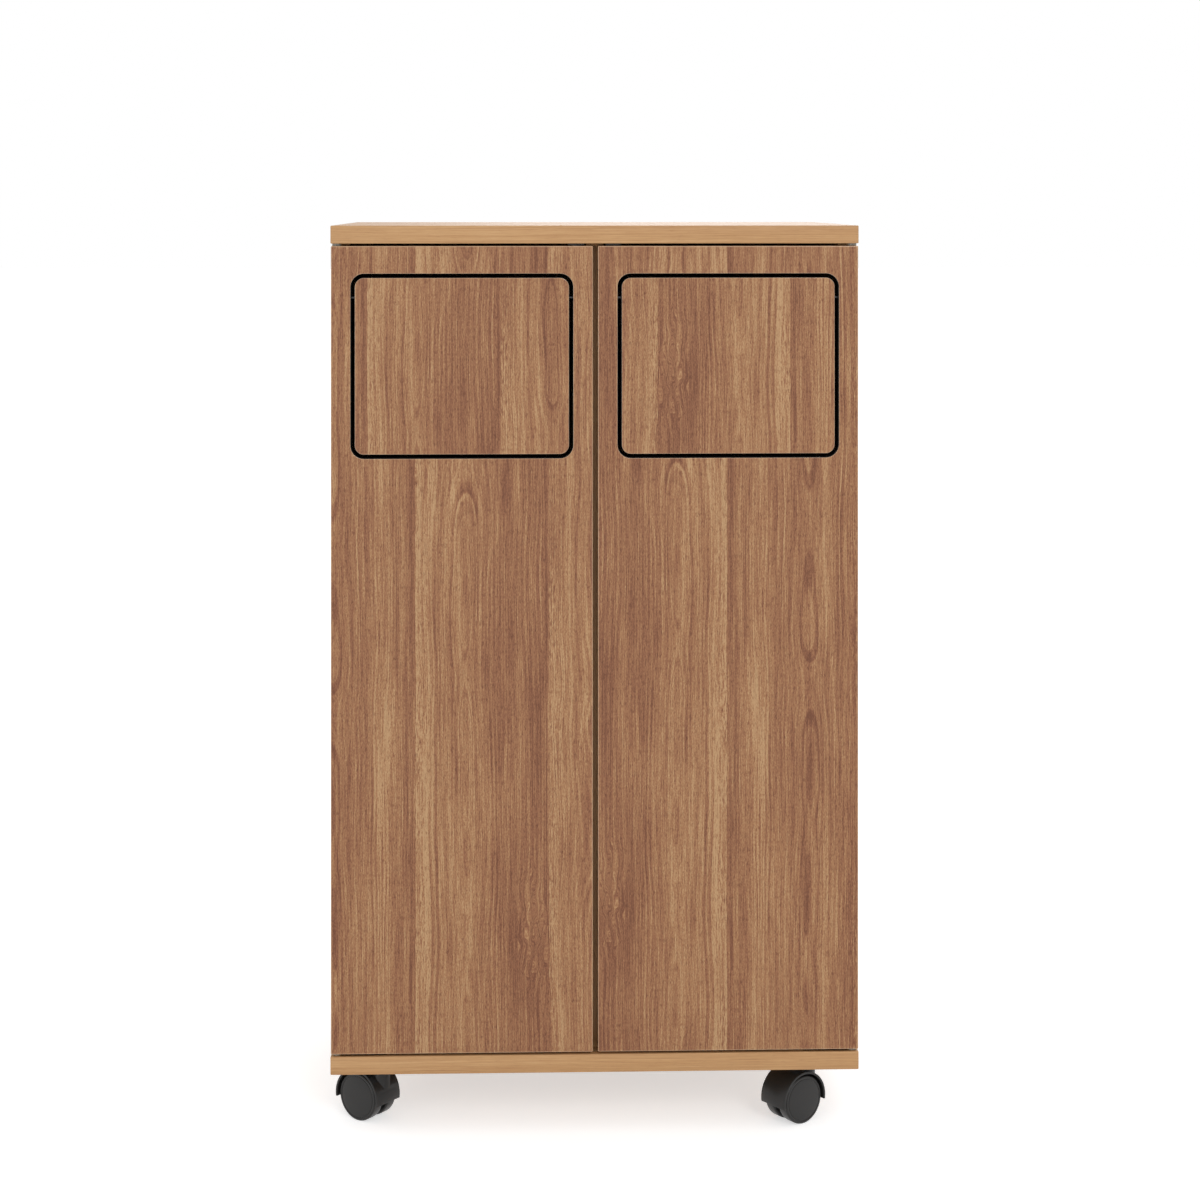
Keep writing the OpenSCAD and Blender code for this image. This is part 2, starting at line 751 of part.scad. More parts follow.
// A pail with a rolled rim, drawn on the right side
module pail() {
    color(grey_plastic) translate([pail_x, pail_y, floor_z]) {
        difference() {
            union() {
                pail_taper_solid(0, 0);
                translate([0, 0, pail_h - pail_wall]) linear_extrude(pail_wall)
                    round_rect(pail_w, pail_d, pail_r);
                translate([0, 0, pail_h - pail_rim_h]) linear_extrude(pail_rim_h) difference() {
                    round_rect(pail_w, pail_d, pail_r);
                    round_rect(pail_w - 2*pail_wall, pail_d - 2*pail_wall, pail_r - pail_wall);
                }
            }
            difference() {
                pail_taper_solid(pail_wall, pail_wall);
                translate([-pail_w, -pail_d, -eps]) cube([2*pail_w, 2*pail_d, pail_wall + eps]);
            }
            translate([0, 0, pail_h - 2*slice]) linear_extrude(2*slice + eps)
                round_rect(pail_body_w - 2*pail_wall, pail_body_d - 2*pail_wall,
                    pail_body_r - pail_wall, $fn = 40);
        }
    }
}

module left_pail() { on_side(-1) pail(); }
module right_pail() { on_side(1) pail(); }

// The place of a corner's caster, at the top of its plate
module at_corner(c) {
    translate([c[0]*stem_x, c[1]*stem_y, caster_h]) children();
}

// The floor under a corner's swivel axis, turned with the caster
module swivelled(c) {
    translate([c[0]*stem_x, c[1]*stem_y, 0]) rotate([0, 0, c[2]]) children();
}

module caster_screw_places() {
    for (x = [-1, 1], y = [-1, 1]) translate([x*plate_screw, y*plate_screw, 0]) children();
}

module caster_plates() {
    color(steel) for (c = corners) at_corner(c) translate([0, 0, -plate_t]) difference() {
        linear_extrude(plate_t) round_rect(plate_w, plate_w, plate_r);
        translate([0, 0, -eps]) caster_screw_places()
            cylinder(h = plate_t + 2*eps, d = caster_screw_d + 2*seat_fit);
        translate([0, 0, -eps]) cylinder(h = plate_t + 2*eps, d = king_d + 2*seat_fit);
    }
}

module caster_screws() {
    color(steel) for (c = corners) at_corner(c) caster_screw_places() {
        translate([0, 0, -plate_t]) cylinder(h = plate_t + caster_screw_len, d = caster_screw_d);
        translate([0, 0, -plate_t - pan_head_h])
            cylinder(h = pan_head_h, d1 = pan_head_d - pan_head_taper, d2 = pan_head_d);
    }
}

// A swivel pin is riveted in its plate; its flange carries the load on the hood's boss
module king_pins() {
    color(steel) for (c = corners) swivelled(c) {
        difference() {
            translate([0, 0, king_bottom]) cylinder(h = caster_h - king_bottom, d = king_d);
            translate([0, 0, snap_z - seat_fit]) ring(snap_h + 2*seat_fit, king_d/2 - snap_depth, king_d);
        }
        translate([0, 0, plate_z - king_flange_h]) cylinder(h = king_flange_h, d = boss_d - 2*boss_margin);
    }
}

// A flat ring from an inner to an outer radius
module ring(h, inner, outer) {
    linear_extrude(h) difference() {
        circle(r = outer);
        circle(r = inner);
    }
}

// The snap rings hold the hoods up on the swivel pins when the cabinet is lifted
module snap_rings() {
    color(steel) for (c = corners) swivelled(c)
        translate([0, 0, snap_z]) ring(snap_h, king_d/2 - snap_depth + seat_fit, king_d/2 + snap_out);
}

// Turns a shape drawn round Z into one round the wheels' axle
module on_axle() {
    translate([0, trail, wheel_r]) rotate([0, 90, 0]) children();
}

// The part of the side view that the hood covers, over the top and down past the axle's level
module hood_fan() {
    reach = 2*hood_out_r;
    drop = reach*tan(hood_drop_angle);
    linear_extrude(caster_w, center = true)
        polygon([[0, 0], [reach, -drop], [reach, reach], [-reach, reach], [-reach, -drop]]);
}

module hood() {
    color(charcoal) difference() {
        union() {
            difference() {
                union() {
                    intersection() {
                        on_axle() cylinder(h = caster_w, r = hood_out_r, center = true);
                        translate([0, trail, wheel_r]) rotate([90, 0, 90]) hood_fan();
                    }
                    translate([0, 0, wheel_r]) cylinder(h = boss_top - wheel_r, d = boss_d);
                }
                on_axle() for (s = [0, 1]) mirror([0, 0, s]) translate([0, 0, web_t/2])
                    cylinder(h = caster_w, r = hood_in_r);
            }
            on_axle() cylinder(h = web_t, d = axle_d + 2*web_hub_wall, center = true);
        }
        on_axle() cylinder(h = 2*caster_w, d = axle_d + 2*seat_fit, center = true);
        translate([0, 0, king_bottom - king_room]) cylinder(h = boss_top, d = king_d + 2*run_fit);
        translate([0, 0, snap_z - snap_room])
            cylinder(h = snap_h + 2*snap_room, r = king_d/2 + snap_out + snap_room);
    }
}

module axle() {
    color(steel) on_axle() cylinder(h = 2*(wheel_in_x + axle_engage), d = axle_d, center = true);
}

// Half of the outline of a wheel's bulging face: an arc that rises by face_bulge from its edge to its middle
module bulge_outline() {
    arc_r = (face_r*face_r + face_bulge*face_bulge)/(2*face_bulge);
    arc = [for (i = [face_steps:-1:0]) let (r = face_r*i/face_steps)
        [r, sqrt(arc_r*arc_r - r*r) - arc_r + face_bulge]];
    polygon(concat([[0, -eps], [face_r, -eps]], arc));
}

// A wheel with a rounded tread, a ring groove in its face and a hub that is closed on the outer side
module wheel(side) {
    w = wheel_face_x - wheel_in_x;
    hub_r = axle_d/2 + wheel_wall;
    color(charcoal) on_axle() mirror([0, 0, side < 0 ? 1 : 0]) translate([0, 0, wheel_in_x])
        rotate_extrude($fn = 96) difference() {
            union() {
                square([wheel_r - tread_r, w]);
                translate([0, tread_r]) square([wheel_r, w - 2*tread_r]);
                for (y = [tread_r, w - tread_r])
                    translate([wheel_r - tread_r, y]) circle(r = tread_r, $fn = 32);
                translate([0, w]) bulge_outline();
            }
            translate([-eps, -eps]) square([axle_d/2 + run_fit + eps, axle_hole_depth + eps]);
            translate([face_r, w - ring_depth]) square([ring_w, ring_depth + eps]);
            translate([hub_r, -eps]) square([wheel_r - wheel_wall - hub_r, hollow_depth + eps]);
        }
}

module front_left_hood() { swivelled(corners[0]) hood(); }
module front_right_hood() { swivelled(corners[1]) hood(); }
module rear_left_hood() { swivelled(corners[2]) hood(); }
module rear_right_hood() { swivelled(corners[3]) hood(); }
module front_left_axle() { swivelled(corners[0]) axle(); }
module front_right_axle() { swivelled(corners[1]) axle(); }
module rear_left_axle() { swivelled(corners[2]) axle(); }
module rear_right_axle() { swivelled(corners[3]) axle(); }
module front_left_wheel_a() { swivelled(corners[0]) wheel(-1); }
module front_right_wheel_a() { swivelled(corners[1]) wheel(-1); }
module rear_left_wheel_a() { swivelled(corners[2]) wheel(-1); }
module rear_right_wheel_a() { swivelled(corners[3]) wheel(-1); }
module front_left_wheel_b() { swivelled(corners[0]) wheel(1); }
module front_right_wheel_b() { swivelled(corners[1]) wheel(1); }
module rear_left_wheel_b() { swivelled(corners[2]) wheel(1); }
module rear_right_wheel_b() { swivelled(corners[3]) wheel(1); }

top_board();
bottom_board();
left_side_panel();
right_side_panel();
centre_divider();
back_panel();
cam_locks();
cam_bolts();
dowels();
left_door();
right_door();
left_flap();
right_flap();
left_flap_pins();
right_flap_pins();
left_flap_bushes();
right_flap_bushes();
board_hinge_leaves();
board_leaf_screws();
hinge_washers();
left_door_leaves();
right_door_leaves();
left_leaf_screws();
right_leaf_screws();
latch_bodies();
latch_screws();
left_plunger();
right_plunger();
left_magnet();
right_magnet();
left_strike();
right_strike();
left_strike_screw();
right_strike_screw();
left_pail();
right_pail();
caster_plates();
caster_screws();
king_pins();
snap_rings();
front_left_hood();
front_right_hood();
rear_left_hood();
rear_right_hood();
front_left_axle();
front_right_axle();
rear_left_axle();
rear_right_axle();
front_left_wheel_a();
front_right_wheel_a();
rear_left_wheel_a();
rear_right_wheel_a();
front_left_wheel_b();
front_right_wheel_b();
rear_left_wheel_b();
rear_right_wheel_b();
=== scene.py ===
# %% [markdown]
# # A trash cabinet in wood-grain board
#
# The real object is a box of laminated chipboard on four twin-wheel casters. Two doors close it,
# and each door holds a flap that swings on two pins. This lesson dresses its packed model: it keeps
# every size and place of the model, and gives each piece the edges and the finish of the real one.

import json
import math

import bmesh
import bpy
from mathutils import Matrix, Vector


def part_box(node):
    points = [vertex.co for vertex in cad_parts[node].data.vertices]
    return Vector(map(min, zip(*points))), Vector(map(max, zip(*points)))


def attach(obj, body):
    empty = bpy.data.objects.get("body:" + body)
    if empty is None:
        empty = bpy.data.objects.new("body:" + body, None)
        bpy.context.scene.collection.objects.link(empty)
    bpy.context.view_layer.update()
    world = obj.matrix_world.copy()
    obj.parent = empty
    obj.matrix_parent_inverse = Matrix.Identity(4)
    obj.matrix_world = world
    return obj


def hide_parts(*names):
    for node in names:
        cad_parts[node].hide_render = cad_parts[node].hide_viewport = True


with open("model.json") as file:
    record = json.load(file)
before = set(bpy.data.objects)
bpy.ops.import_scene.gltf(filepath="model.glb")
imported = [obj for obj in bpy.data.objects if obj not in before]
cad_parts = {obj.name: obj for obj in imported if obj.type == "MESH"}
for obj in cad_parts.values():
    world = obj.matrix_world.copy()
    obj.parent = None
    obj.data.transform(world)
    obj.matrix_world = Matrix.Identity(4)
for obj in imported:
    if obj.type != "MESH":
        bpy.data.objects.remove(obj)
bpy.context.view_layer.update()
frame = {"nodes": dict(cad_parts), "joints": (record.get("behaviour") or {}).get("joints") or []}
MM = 0.001

# %% [markdown]
# ## The camera
#
# The photograph was taken from a little left of the middle, with the lens level and almost at the
# height of the top board. The front therefore shows no slant: its uprights are parallel. A camera
# that looks down would make them lean, so this one stays level and its picture is shifted down,
# as a photographer does with a shift lens.

# %% Place the camera
# Measured in the photograph, in pixels: its height, the lens and the row of the horizon
PICTURE_HIGH = 1203
FOCAL_PIXELS = 2398
HORIZON_ROW = 199.7
# The sensor's width in mm, the camera's place in metres and its turn about the vertical in degrees
SENSOR = 36.0
CAMERA_PLACE = (-0.0693, -2.5883, 0.9359)
CAMERA_TURN = -1.761

camera = bpy.data.objects.new("camera", bpy.data.cameras.new("camera"))
bpy.context.scene.collection.objects.link(camera)
bpy.context.scene.camera = camera
camera.location = CAMERA_PLACE
camera.rotation_euler = (math.radians(90), 0, math.radians(CAMERA_TURN))
camera.data.sensor_width = SENSOR
camera.data.lens = SENSOR*FOCAL_PIXELS/PICTURE_HIGH
camera.data.shift_y = HORIZON_ROW/PICTURE_HIGH - 0.5
print("Lens", round(camera.data.lens, 1), "mm, shifted by", round(camera.data.shift_y, 3))

# %% [markdown]
# ## Writing node trees as sums
#
# A wood print is a long sum of noises. Wired by hand, that is a web of Math nodes which nobody can
# read. The small class below wraps a socket, so that Python's own signs add those nodes: then
# `tone = base + 0.2*lines` is both the sum and its wiring. Numbers alone are worked out in Python.
#
# Noises, ramps, shaders and meshes need settings and sockets instead. One method adds any node to a
# tree: settings are set first, since they can change which sockets exist, and then the sockets. It
# serves the shader trees and, further on, the geometry trees of the screws and the cams.

# %% A socket that can be added and multiplied
class Wire:
    """One output socket of a node tree, for use in sums with numbers and other wires."""

    def __init__(self, graph, socket):
        self.graph = graph
        self.socket = socket

    def out(self, name):
        """Another output of the same node."""
        return Wire(self.graph, self.socket.node.outputs[name])

    def math(self, operation, *values):
        """A Math node on the given values, as a wire."""
        return self.graph.add("ShaderNodeMath", {"operation": operation}, dict(enumerate(values)))

    def __add__(self, other):
        return self.math("ADD", self, other)

    def __radd__(self, other):
        return self.math("ADD", other, self)

    def __sub__(self, other):
        return self.math("SUBTRACT", self, other)

    def __rsub__(self, other):
        return self.math("SUBTRACT", other, self)

    def __mul__(self, other):
        return self.math("MULTIPLY", self, other)

    def __rmul__(self, other):
        return self.math("MULTIPLY", other, self)

    def __truediv__(self, other):
        return self.math("DIVIDE", self, other)

    def __rtruediv__(self, other):
        return self.math("DIVIDE", other, self)

    def __pow__(self, other):
        return self.math("POWER", self, other)

    def __rpow__(self, other):
        return self.math("POWER", other, self)

    def __mod__(self, other):
        return self.math("FLOORED_MODULO", self, other)

    def __rmod__(self, other):
        return self.math("FLOORED_MODULO", other, self)

    def floor(self):
        """The whole number below the value."""
        return self.math("FLOOR", self)

    def larger(self, other):
        """The larger of two values."""
        return self.math("MAXIMUM", self, other)

    def bump(self, middle, width):
        """1 at the middle and near 0 beyond about twice the width on each side."""
        away = (self - middle)/width
        return self.math("EXPONENT", 0 - away*away)

    def fade(self, start, end):
        """0 before start and 1 after end, with a smooth step between them."""
        return self.graph.add("ShaderNodeMapRange", {"interpolation_type": "SMOOTHSTEP"},
            {"Value": self, "From Min": start, "From Max": end})


print("A wire knows", sum(name.startswith("__r") for name in vars(Wire)), "reflected signs")

# %% One way to make any node
class Graph:
    """A node tree that is built node by node."""

    def __init__(self, tree):
        self.tree = tree
        self.tree.nodes.clear()

    def add(self, kind, settings=None, values=None, output=0):
        """Adds a node, sets it and its sockets, and returns one of its outputs as a wire."""
        node = self.tree.nodes.new(kind)
        for name, value in (settings or {}).items():
            if name == "stops":
                set_stops(node.color_ramp, value)
            else:
                setattr(node, name, value)
        for name, value in (values or {}).items():
            self.plug(node.inputs[name], value)
        return Wire(self, node.outputs[output] if node.outputs else None)

    def plug(self, socket, value):
        """Links a socket to a wire or to a list of them, or sets it to a plain value."""
        if isinstance(value, Wire):
            self.tree.links.new(value.socket, socket)
        elif isinstance(value, list):
            for wire in value:
                self.tree.links.new(wire.socket, socket)
        else:
            socket.default_value = value


def set_stops(ramp, stops):
    """Writes a colour ramp's stops, each a place and a colour or a grey."""
    while len(ramp.elements) < len(stops):
        ramp.elements.new(0.5)
    for element, (place, colour) in zip(ramp.elements, stops):
        element.position = place
        element.color = (*colour, 1) if isinstance(colour, tuple) else (colour, colour, colour, 1)


print("Node trees can be built")

# %% [markdown]
# ## Floor and light
#
# A product like this is shown on white. The floor is pale and keeps the soft shadow of the cabinet.
# It is lifted to white only where the camera or a reflection looks at it, so that it throws no
# extra light on the object, and the world behind it is white for the same rays. One large lamp at
# the upper right models the edges, a weaker one fills in from the left, and one stands behind.
# A picture of a studio as the world would do too, but three lamps are easier to weigh.

# %% Build the studio
# Half the width of the floor in metres, its grey, and how much brighter the camera sees it
STUDIO_HALF = 30.0
PALE = (0.8, 0.8, 0.8, 1)
FLOOR_LIFT = 0.55
# How bright the world is for the object, beside 1 for the camera, and where the lamps look
AMBIENT = 0.75
MIDDLE = Vector((0, 0, 0.5))


def studio_floor():
    """A pale floor that shows white to the camera, apart from the shadow on it."""
    material = bpy.data.materials.new("pale_floor")
    material.use_nodes = True
    g = Graph(material.node_tree)
    ray = g.add("ShaderNodeLightPath", output="Is Camera Ray")
    seen = ray.larger(ray.out("Is Glossy Ray"))
    lift = g.add("ShaderNodeEmission", {}, {"Strength": seen*FLOOR_LIFT})
    pale = g.add("ShaderNodeBsdfDiffuse", {}, {"Color": PALE})
    both = g.add("ShaderNodeAddShader", {}, {0: pale, 1: lift})
    g.add("ShaderNodeOutputMaterial", {}, {"Surface": both})
    mesh = bpy.data.meshes.new("floor")
    corners = [(x*STUDIO_HALF, y*STUDIO_HALF, 0) for x, y in ((-1, -1), (1, -1), (1, 1), (-1, 1))]
    mesh.from_pydata(corners, [], [(0, 1, 2, 3)])
    mesh.materials.append(material)
    floor = bpy.data.objects.new("floor", mesh)
    bpy.context.scene.collection.objects.link(floor)


def studio_world():
    """White behind the object, and an even light from all round it."""
    world = bpy.data.worlds.new("studio")
    bpy.context.scene.world = world
    world.use_nodes = True
    g = Graph(world.node_tree)
    ray = g.add("ShaderNodeLightPath", output="Is Camera Ray")
    seen = ray.larger(ray.out("Is Glossy Ray")).larger(ray.out("Is Transmission Ray"))
    strength = AMBIENT + (1 - AMBIENT)*seen
    light = g.add("ShaderNodeBackground", {}, {"Color": (1, 1, 1, 1), "Strength": strength})
    g.add("ShaderNodeOutputWorld", {}, {"Surface": light})


def soft_lamp(name, place, size, watts):
    """A square area lamp that looks at the middle of the cabinet."""
    lamp = bpy.data.lights.new(name, "AREA")
    lamp.shape = "SQUARE"
    lamp.size = size
    lamp.energy = watts
    holder = bpy.data.objects.new(name, lamp)
    bpy.context.scene.collection.objects.link(holder)
    holder.location = place
    holder.rotation_euler = (MIDDLE - Vector(place)).to_track_quat("-Z", "Y").to_euler()


studio_floor()
studio_world()
soft_lamp("key_lamp", (2.2, -6.6, 4.2), 2.4, 125)
soft_lamp("fill_lamp", (-4.4, -6.0, 0.6), 3.0, 70)
soft_lamp("back_lamp", (1.5, 7.0, 4.0), 4.0, 110)
bpy.context.scene.view_settings.view_transform = "Standard"
print("The studio has a floor, a world and", len(bpy.data.lights), "lamps")

# %% [markdown]
# ## Materials
#
# All the finishes share a few steps: a noise along the grain, a cloud in space, a ramp of colours
# and a Principled shader over a fine bump. They could be repeated in each material, but a class
# for a material says them once and leaves only what differs.

# %% A material
def srgb(red, green, blue):
    """A colour as it is seen, 0 to 255 each, turned into the linear values of a shader."""
    return tuple(((c/255 + 0.055)/1.055)**2.4 for c in (red, green, blue))


class Finish(Graph):
    """A material, with the noises and the ending that all the finishes here share."""

    def __init__(self, name):
        self.material = bpy.data.materials.new(name)
        self.material.use_nodes = True
        super().__init__(self.material.node_tree)

    def noise(self, x, y=0.0, detail=2.0, roughness=0.5):
        """A noise about zero, mostly within 0.3 on either side, over a plane of wires."""
        point = self.add("ShaderNodeCombineXYZ", {}, {"X": x, "Y": y})
        return self.add("ShaderNodeTexNoise", {"noise_dimensions": "2D"},
            {"Vector": point, "Scale": 1.0, "Detail": detail, "Roughness": roughness}) - 0.5

    def cloud(self, size, detail=2.0, roughness=0.5):
        """A noise about zero in space, with cells of about the given size in mm."""
        point = self.add("ShaderNodeTexCoord", output="Object")
        return self.add("ShaderNodeTexNoise", {"noise_dimensions": "3D"},
            {"Vector": point, "Scale": 1/(size*MM), "Detail": detail, "Roughness": roughness}) - 0.5

    def in_mm(self, point):
        """The three parts of a point, in millimetres."""
        parts = self.add("ShaderNodeSeparateXYZ", {}, {"Vector": point}, "X")
        return [parts.out(axis)/MM for axis in "XYZ"]

    def grain(self):
        """The place on a board's own map, in millimetres: across the grain and along it."""
        return self.in_mm(self.add("ShaderNodeUVMap", {"uv_map": "grain"}))[:2]

    def mark(self, name):
        """A number that is kept on the faces of a piece, 0 where it isn't set."""
        return self.add("ShaderNodeAttribute", {"attribute_name": name}, output="Fac")

    def ramp(self, value, stops):
        """Looks a value up in a list of (place, colour) stops."""
        return self.add("ShaderNodeValToRGB", {"stops": stops}, {"Fac": value})

    def blend(self, factor, first, second):
        """A colour between two others: the first where the factor is 0, the second where it is 1."""
        # A Mix node has its sockets once for each kind of value: 6, 7 and output 2 are for colours
        return self.add("ShaderNodeMix", {"data_type": "RGBA"}, {0: factor, 6: first, 7: second}, 2)

    def surface(self, height, distance, **values):
        """Ends the material in a Principled shader that a Bump node roughens."""
        sockets = {name.replace("_", " "): value for name, value in values.items()}
        sockets["Normal"] = self.add("ShaderNodeBump", {}, {"Height": height, "Distance": distance})
        shader = self.add("ShaderNodeBsdfPrincipled", {}, sockets)
        self.add("ShaderNodeOutputMaterial", {}, {"Surface": shader})
        return self.material


print("A colour of 128 is", round(srgb(128, 128, 128)[0], 3), "in a shader")

# %% [markdown]
# ## The walnut print
#
# The doors are faced with a printed walnut. It is quarter-sawn timber, laid in strips 134 mm wide,
# and each strip runs from pale sapwood at its left joint to dark heartwood at its right joint.
# Most of the change is across the grain, so the print starts as a profile of tones across a strip.
# Near the middle of a strip the saw came close to the pith: there the year rings show as nested
# arches. One formula gives both: the distance from a wavy pith line, read by a noise along one
# axis. Far from the pith it is straight lines, and near it, closed loops. A scan of a sheet would
# be the quick way, but a formula has no seam and can be cut anywhere, as the real sheet is.

# %% The walnut print
# In mm across the sheet: a strip's width, where the tones below start and how far they go, the
# first joint between strips, and the pith's place in a strip
STRIP = 134.0
PRINT_START = -50.0
PRINT_WIDTH = 314.0
FIRST_JOINT = 84.0
PITH = 53.0
# Tones across the print, in mm from the first strip: sapwood is light and heartwood dark
BAND_TONES = [(-50, 0.4), (-30, 0.42), (-14, 0.56), (-3, 0.38), (10, 0.44), (30, 0.56), (46, 0.6),
    (56, 0.72), (64, 0.52), (76, 0.36), (83.9, 0.32), (84.1, 0.84), (94, 0.76), (106, 0.58), (130, 0.53),
    (152, 0.5), (172, 0.38), (200, 0.33), (217.9, 0.32), (218.1, 0.6), (234, 0.7), (246, 0.55), (263, 0.46)]
WALNUT_TONES = [(0.0, srgb(118, 74, 52)), (0.25, srgb(141, 94, 67)), (0.5, srgb(156, 110, 77)),
    (0.75, srgb(171, 127, 89)), (1.0, srgb(189, 151, 111))]
# Painted highlight on the rounded edges, painted shade on the gap's walls, and the faint mirror of print
PAINTED_EDGE_HIGHLIGHT = (*srgb(226, 190, 150), 1)
PAINTED_GAP_SHADE = (*srgb(20, 18, 17), 1)
MATTE = 0.3


def walnut_print():
    """Printed walnut. It reads the piece's own map, x across the grain and y along it, in metres."""
    f = Finish("walnut_print")
    across, along = f.grain()
    strip = (across - FIRST_JOINT) % STRIP
    board = ((across - FIRST_JOINT)/STRIP).floor()
    # The fibres wander, but never across the straight joint between two strips
    free = strip.fade(0, 14)*strip.fade(STRIP, STRIP - 14)
    burl = across.bump(202, 15)*along.bump(118, 55)
    wander = f.noise(across/60 + board*3.7, along/300, 2)*10 + f.noise(across/12, along/130, 2)*2.4
    wander = wander*free + burl*f.noise(across/8, along/30, 1)*20
    u = across + wander
    band = f.ramp((u - PRINT_START)/PRINT_WIDTH % 1.0,
        [((at - PRINT_START)/PRINT_WIDTH, tone) for at, tone in BAND_TONES])
    # Distance from the pith, which comes nearer and goes away along the strip
    aside = strip + wander - PITH
    near = aside.bump(0, 14)
    depth = f.noise(along/170 + board*2.3, 4.7, 1)*62
    ring = (aside*aside + depth*depth + 1)**0.5 + aside*0.15 + board*17.3
    lines = f.noise(ring/2.4, along/1500, 4, 0.72)
    bundles = f.noise(u/9 + board*3.1, along/200, 2, 0.5)
    ticks = f.noise(u/3.0, along/75, 4, 0.7)
    # At the pith itself the rings are cut flat: few and wide, each dark on one side only
    hooks = near*(0 - f.noise(ring/4.2, along/700, 1)).fade(0.02, 0.2)
    # Short fibres, pores and, on the sapwood, pale flecks
    fibre = f.noise(u/0.9, along/45, 4, 0.75)
    pores = f.noise(u/0.8, along/7, 1).fade(0.1, 0.24)
    patchy = f.noise(across/25, along/70, 2).fade(-0.15, 0.15)
    flecks = f.noise(u/1.2, along/9, 3, 0.65)*strip.fade(18, 2)*patchy
    speckle = f.noise(u/0.8, along/2.5, 2, 0.6)
    # Each weight in this sum says how strongly its layer shows
    strong = (f.noise(across/26, along/140, 2)*1.1 + 0.85)*(1 - near*0.45)
    tone = band*0.98 + strong*lines*1.8 + ticks*0.75 + bundles*0.7 - hooks*0.3 + near*0.1
    tone = tone + f.noise(across/50, along/160, 1)*0.32 + 0.02
    tone = tone + fibre*1.45 + speckle*0.9 - pores*0.3 + flecks*2.8
    # The edges get a glossier coat, and a pale colour on their rounding is a painted highlight
    banding = f.mark("banding")
    printed = f.ramp(tone, WALNUT_TONES)
    print_with_painted_highlight = f.blend(banding*0.4, printed, PAINTED_EDGE_HIGHLIGHT)
    # Painted shade: the walls of the gap are coloured near black, made rougher and left without coat
    sealed = f.mark("sealed")
    return f.surface(fibre - pores, 0.0002, Base_Color=f.blend(sealed, print_with_painted_highlight, PAINTED_GAP_SHADE),
        Roughness=0.5 + fibre*0.15 - banding*0.2 + sealed*0.3, Specular_IOR_Level=MATTE,
        Coat_Weight=banding*(1 - sealed), Coat_Roughness=0.25)


walnut = walnut_print()
print("The walnut print has", len(walnut.node_tree.nodes), "nodes")

# %% [markdown]
# ## The oak print
#
# The boards, the uprights and the edges between the doors are faced with a pale oak. It is much
# calmer than the walnut: long straight lines, a faint cloud of tone and a few short pores. The
# same noises make it, in a shorter sum, because it has no figure that the eye could follow.

# %% The oak print
OAK_TONES = [(0.0, srgb(160, 116, 75)), (0.35, srgb(182, 138, 94)), (0.6, srgb(194, 151, 105)),
    (1.0, srgb(212, 173, 127))]


def oak_print():
    """Printed oak on the piece's own map, x across the grain and y along it, in metres."""
    f = Finish("oak_print")
    across, along = f.grain()
    u = across + f.noise(across/30, along/240, 2)*6
    lines = f.noise(u/1.4, along/220, 3, 0.6)
    bands = f.noise(u/9, along/420, 2)
    fibre = f.noise(u/0.7, along/30, 2, 0.6)
    pores = f.noise(u/0.5, along/9, 1).fade(0.14, 0.28)
    tone = 0.52 + lines*0.8 + bands*0.5 + fibre*0.6 - pores*0.16
    return f.surface(fibre - pores, 0.00006, Base_Color=f.ramp(tone, OAK_TONES),
        Roughness=0.42 + fibre*0.12, Specular_IOR_Level=MATTE)


oak = oak_print()
print("The oak print has", len(oak.node_tree.nodes), "nodes")

# %% [markdown]
# ## Plastics and metals
#
# Moulded nylon and polypropylene come out of a spark-eroded mould: a very fine even grain, a soft
# sheen and faint clouds in it. Zinc plating is a grey metal with cloudy passivation, and the hinge
# leaves are satin brass with brush marks along them. None of these has a direction that follows
# the piece, so they read Object coordinates, at the real size of the grain.

# %% Plastics, metals and raw wood
def moulded(name, dark, light, sheen, grain_depth=0.00004, shine=0.5):
    """Moulded plastic: two close tones, a fine grain and a faint cloud in its sheen."""
    f = Finish(name)
    colour = f.ramp(f.cloud(40, 1) + 0.5, [(0.2, dark), (0.8, light)])
    return f.surface(f.cloud(0.45, 1), grain_depth, Base_Color=colour,
        Roughness=sheen + f.cloud(30, 1)*0.05, Specular_IOR_Level=shine)


def plated(name, dark, light, roughness, brushed=False):
    """Metal whose tone is cloudy, or drawn out along X where it was brushed."""
    f = Finish(name)
    x, y, z = f.in_mm(f.add("ShaderNodeTexCoord", output="Object"))
    tone = f.noise((y + z)/0.25, x/30, 2, 0.6) if brushed else f.cloud(5, 3, 0.6)
    return f.surface(tone, 0.00001, Base_Color=f.ramp(tone + 0.5, [(0.2, dark), (0.8, light)]),
        Metallic=1.0, Roughness=roughness + tone*0.2)


def turned_beech():
    """Raw beech with its grain along Z and the small dark rays that beech always has."""
    f = Finish("turned_beech")
    x, y, z = f.in_mm(f.add("ShaderNodeTexCoord", output="Object"))
    lines = f.noise((x + y)/0.8, z/30, 2, 0.6)
    rays = f.noise((x - y)/0.7, z/2.5, 1).fade(0.16, 0.26)
    colour = f.ramp(0.5 + lines*0.9 - rays*0.3, [(0, srgb(186, 146, 104)), (1, srgb(226, 194, 150))])
    return f.surface(lines - rays, 0.0001, Base_Color=colour, Roughness=0.6 + lines*0.2)


charcoal = moulded("charcoal_nylon", srgb(27, 26, 25), srgb(34, 33, 32), 0.34, shine=0.36)
pail_grey = moulded("grey_polypropylene", srgb(120, 122, 125), srgb(123, 125, 127), 0.42, 0.00003)
latch_grey = moulded("latch_plastic", srgb(144, 146, 149), srgb(154, 156, 158), 0.45)
nylon = moulded("natural_nylon", srgb(148, 145, 136), srgb(158, 155, 146), 0.4)
zinc = plated("zinc_plate", srgb(150, 152, 156), srgb(190, 192, 196), 0.34)
steel = plated("drawn_steel", srgb(66, 66, 68), srgb(84, 84, 86), 0.4)
brass = plated("satin_brass", srgb(176, 140, 78), srgb(206, 172, 106), 0.3, brushed=True)
beech = turned_beech()
print("Materials so far:", len(bpy.data.materials))

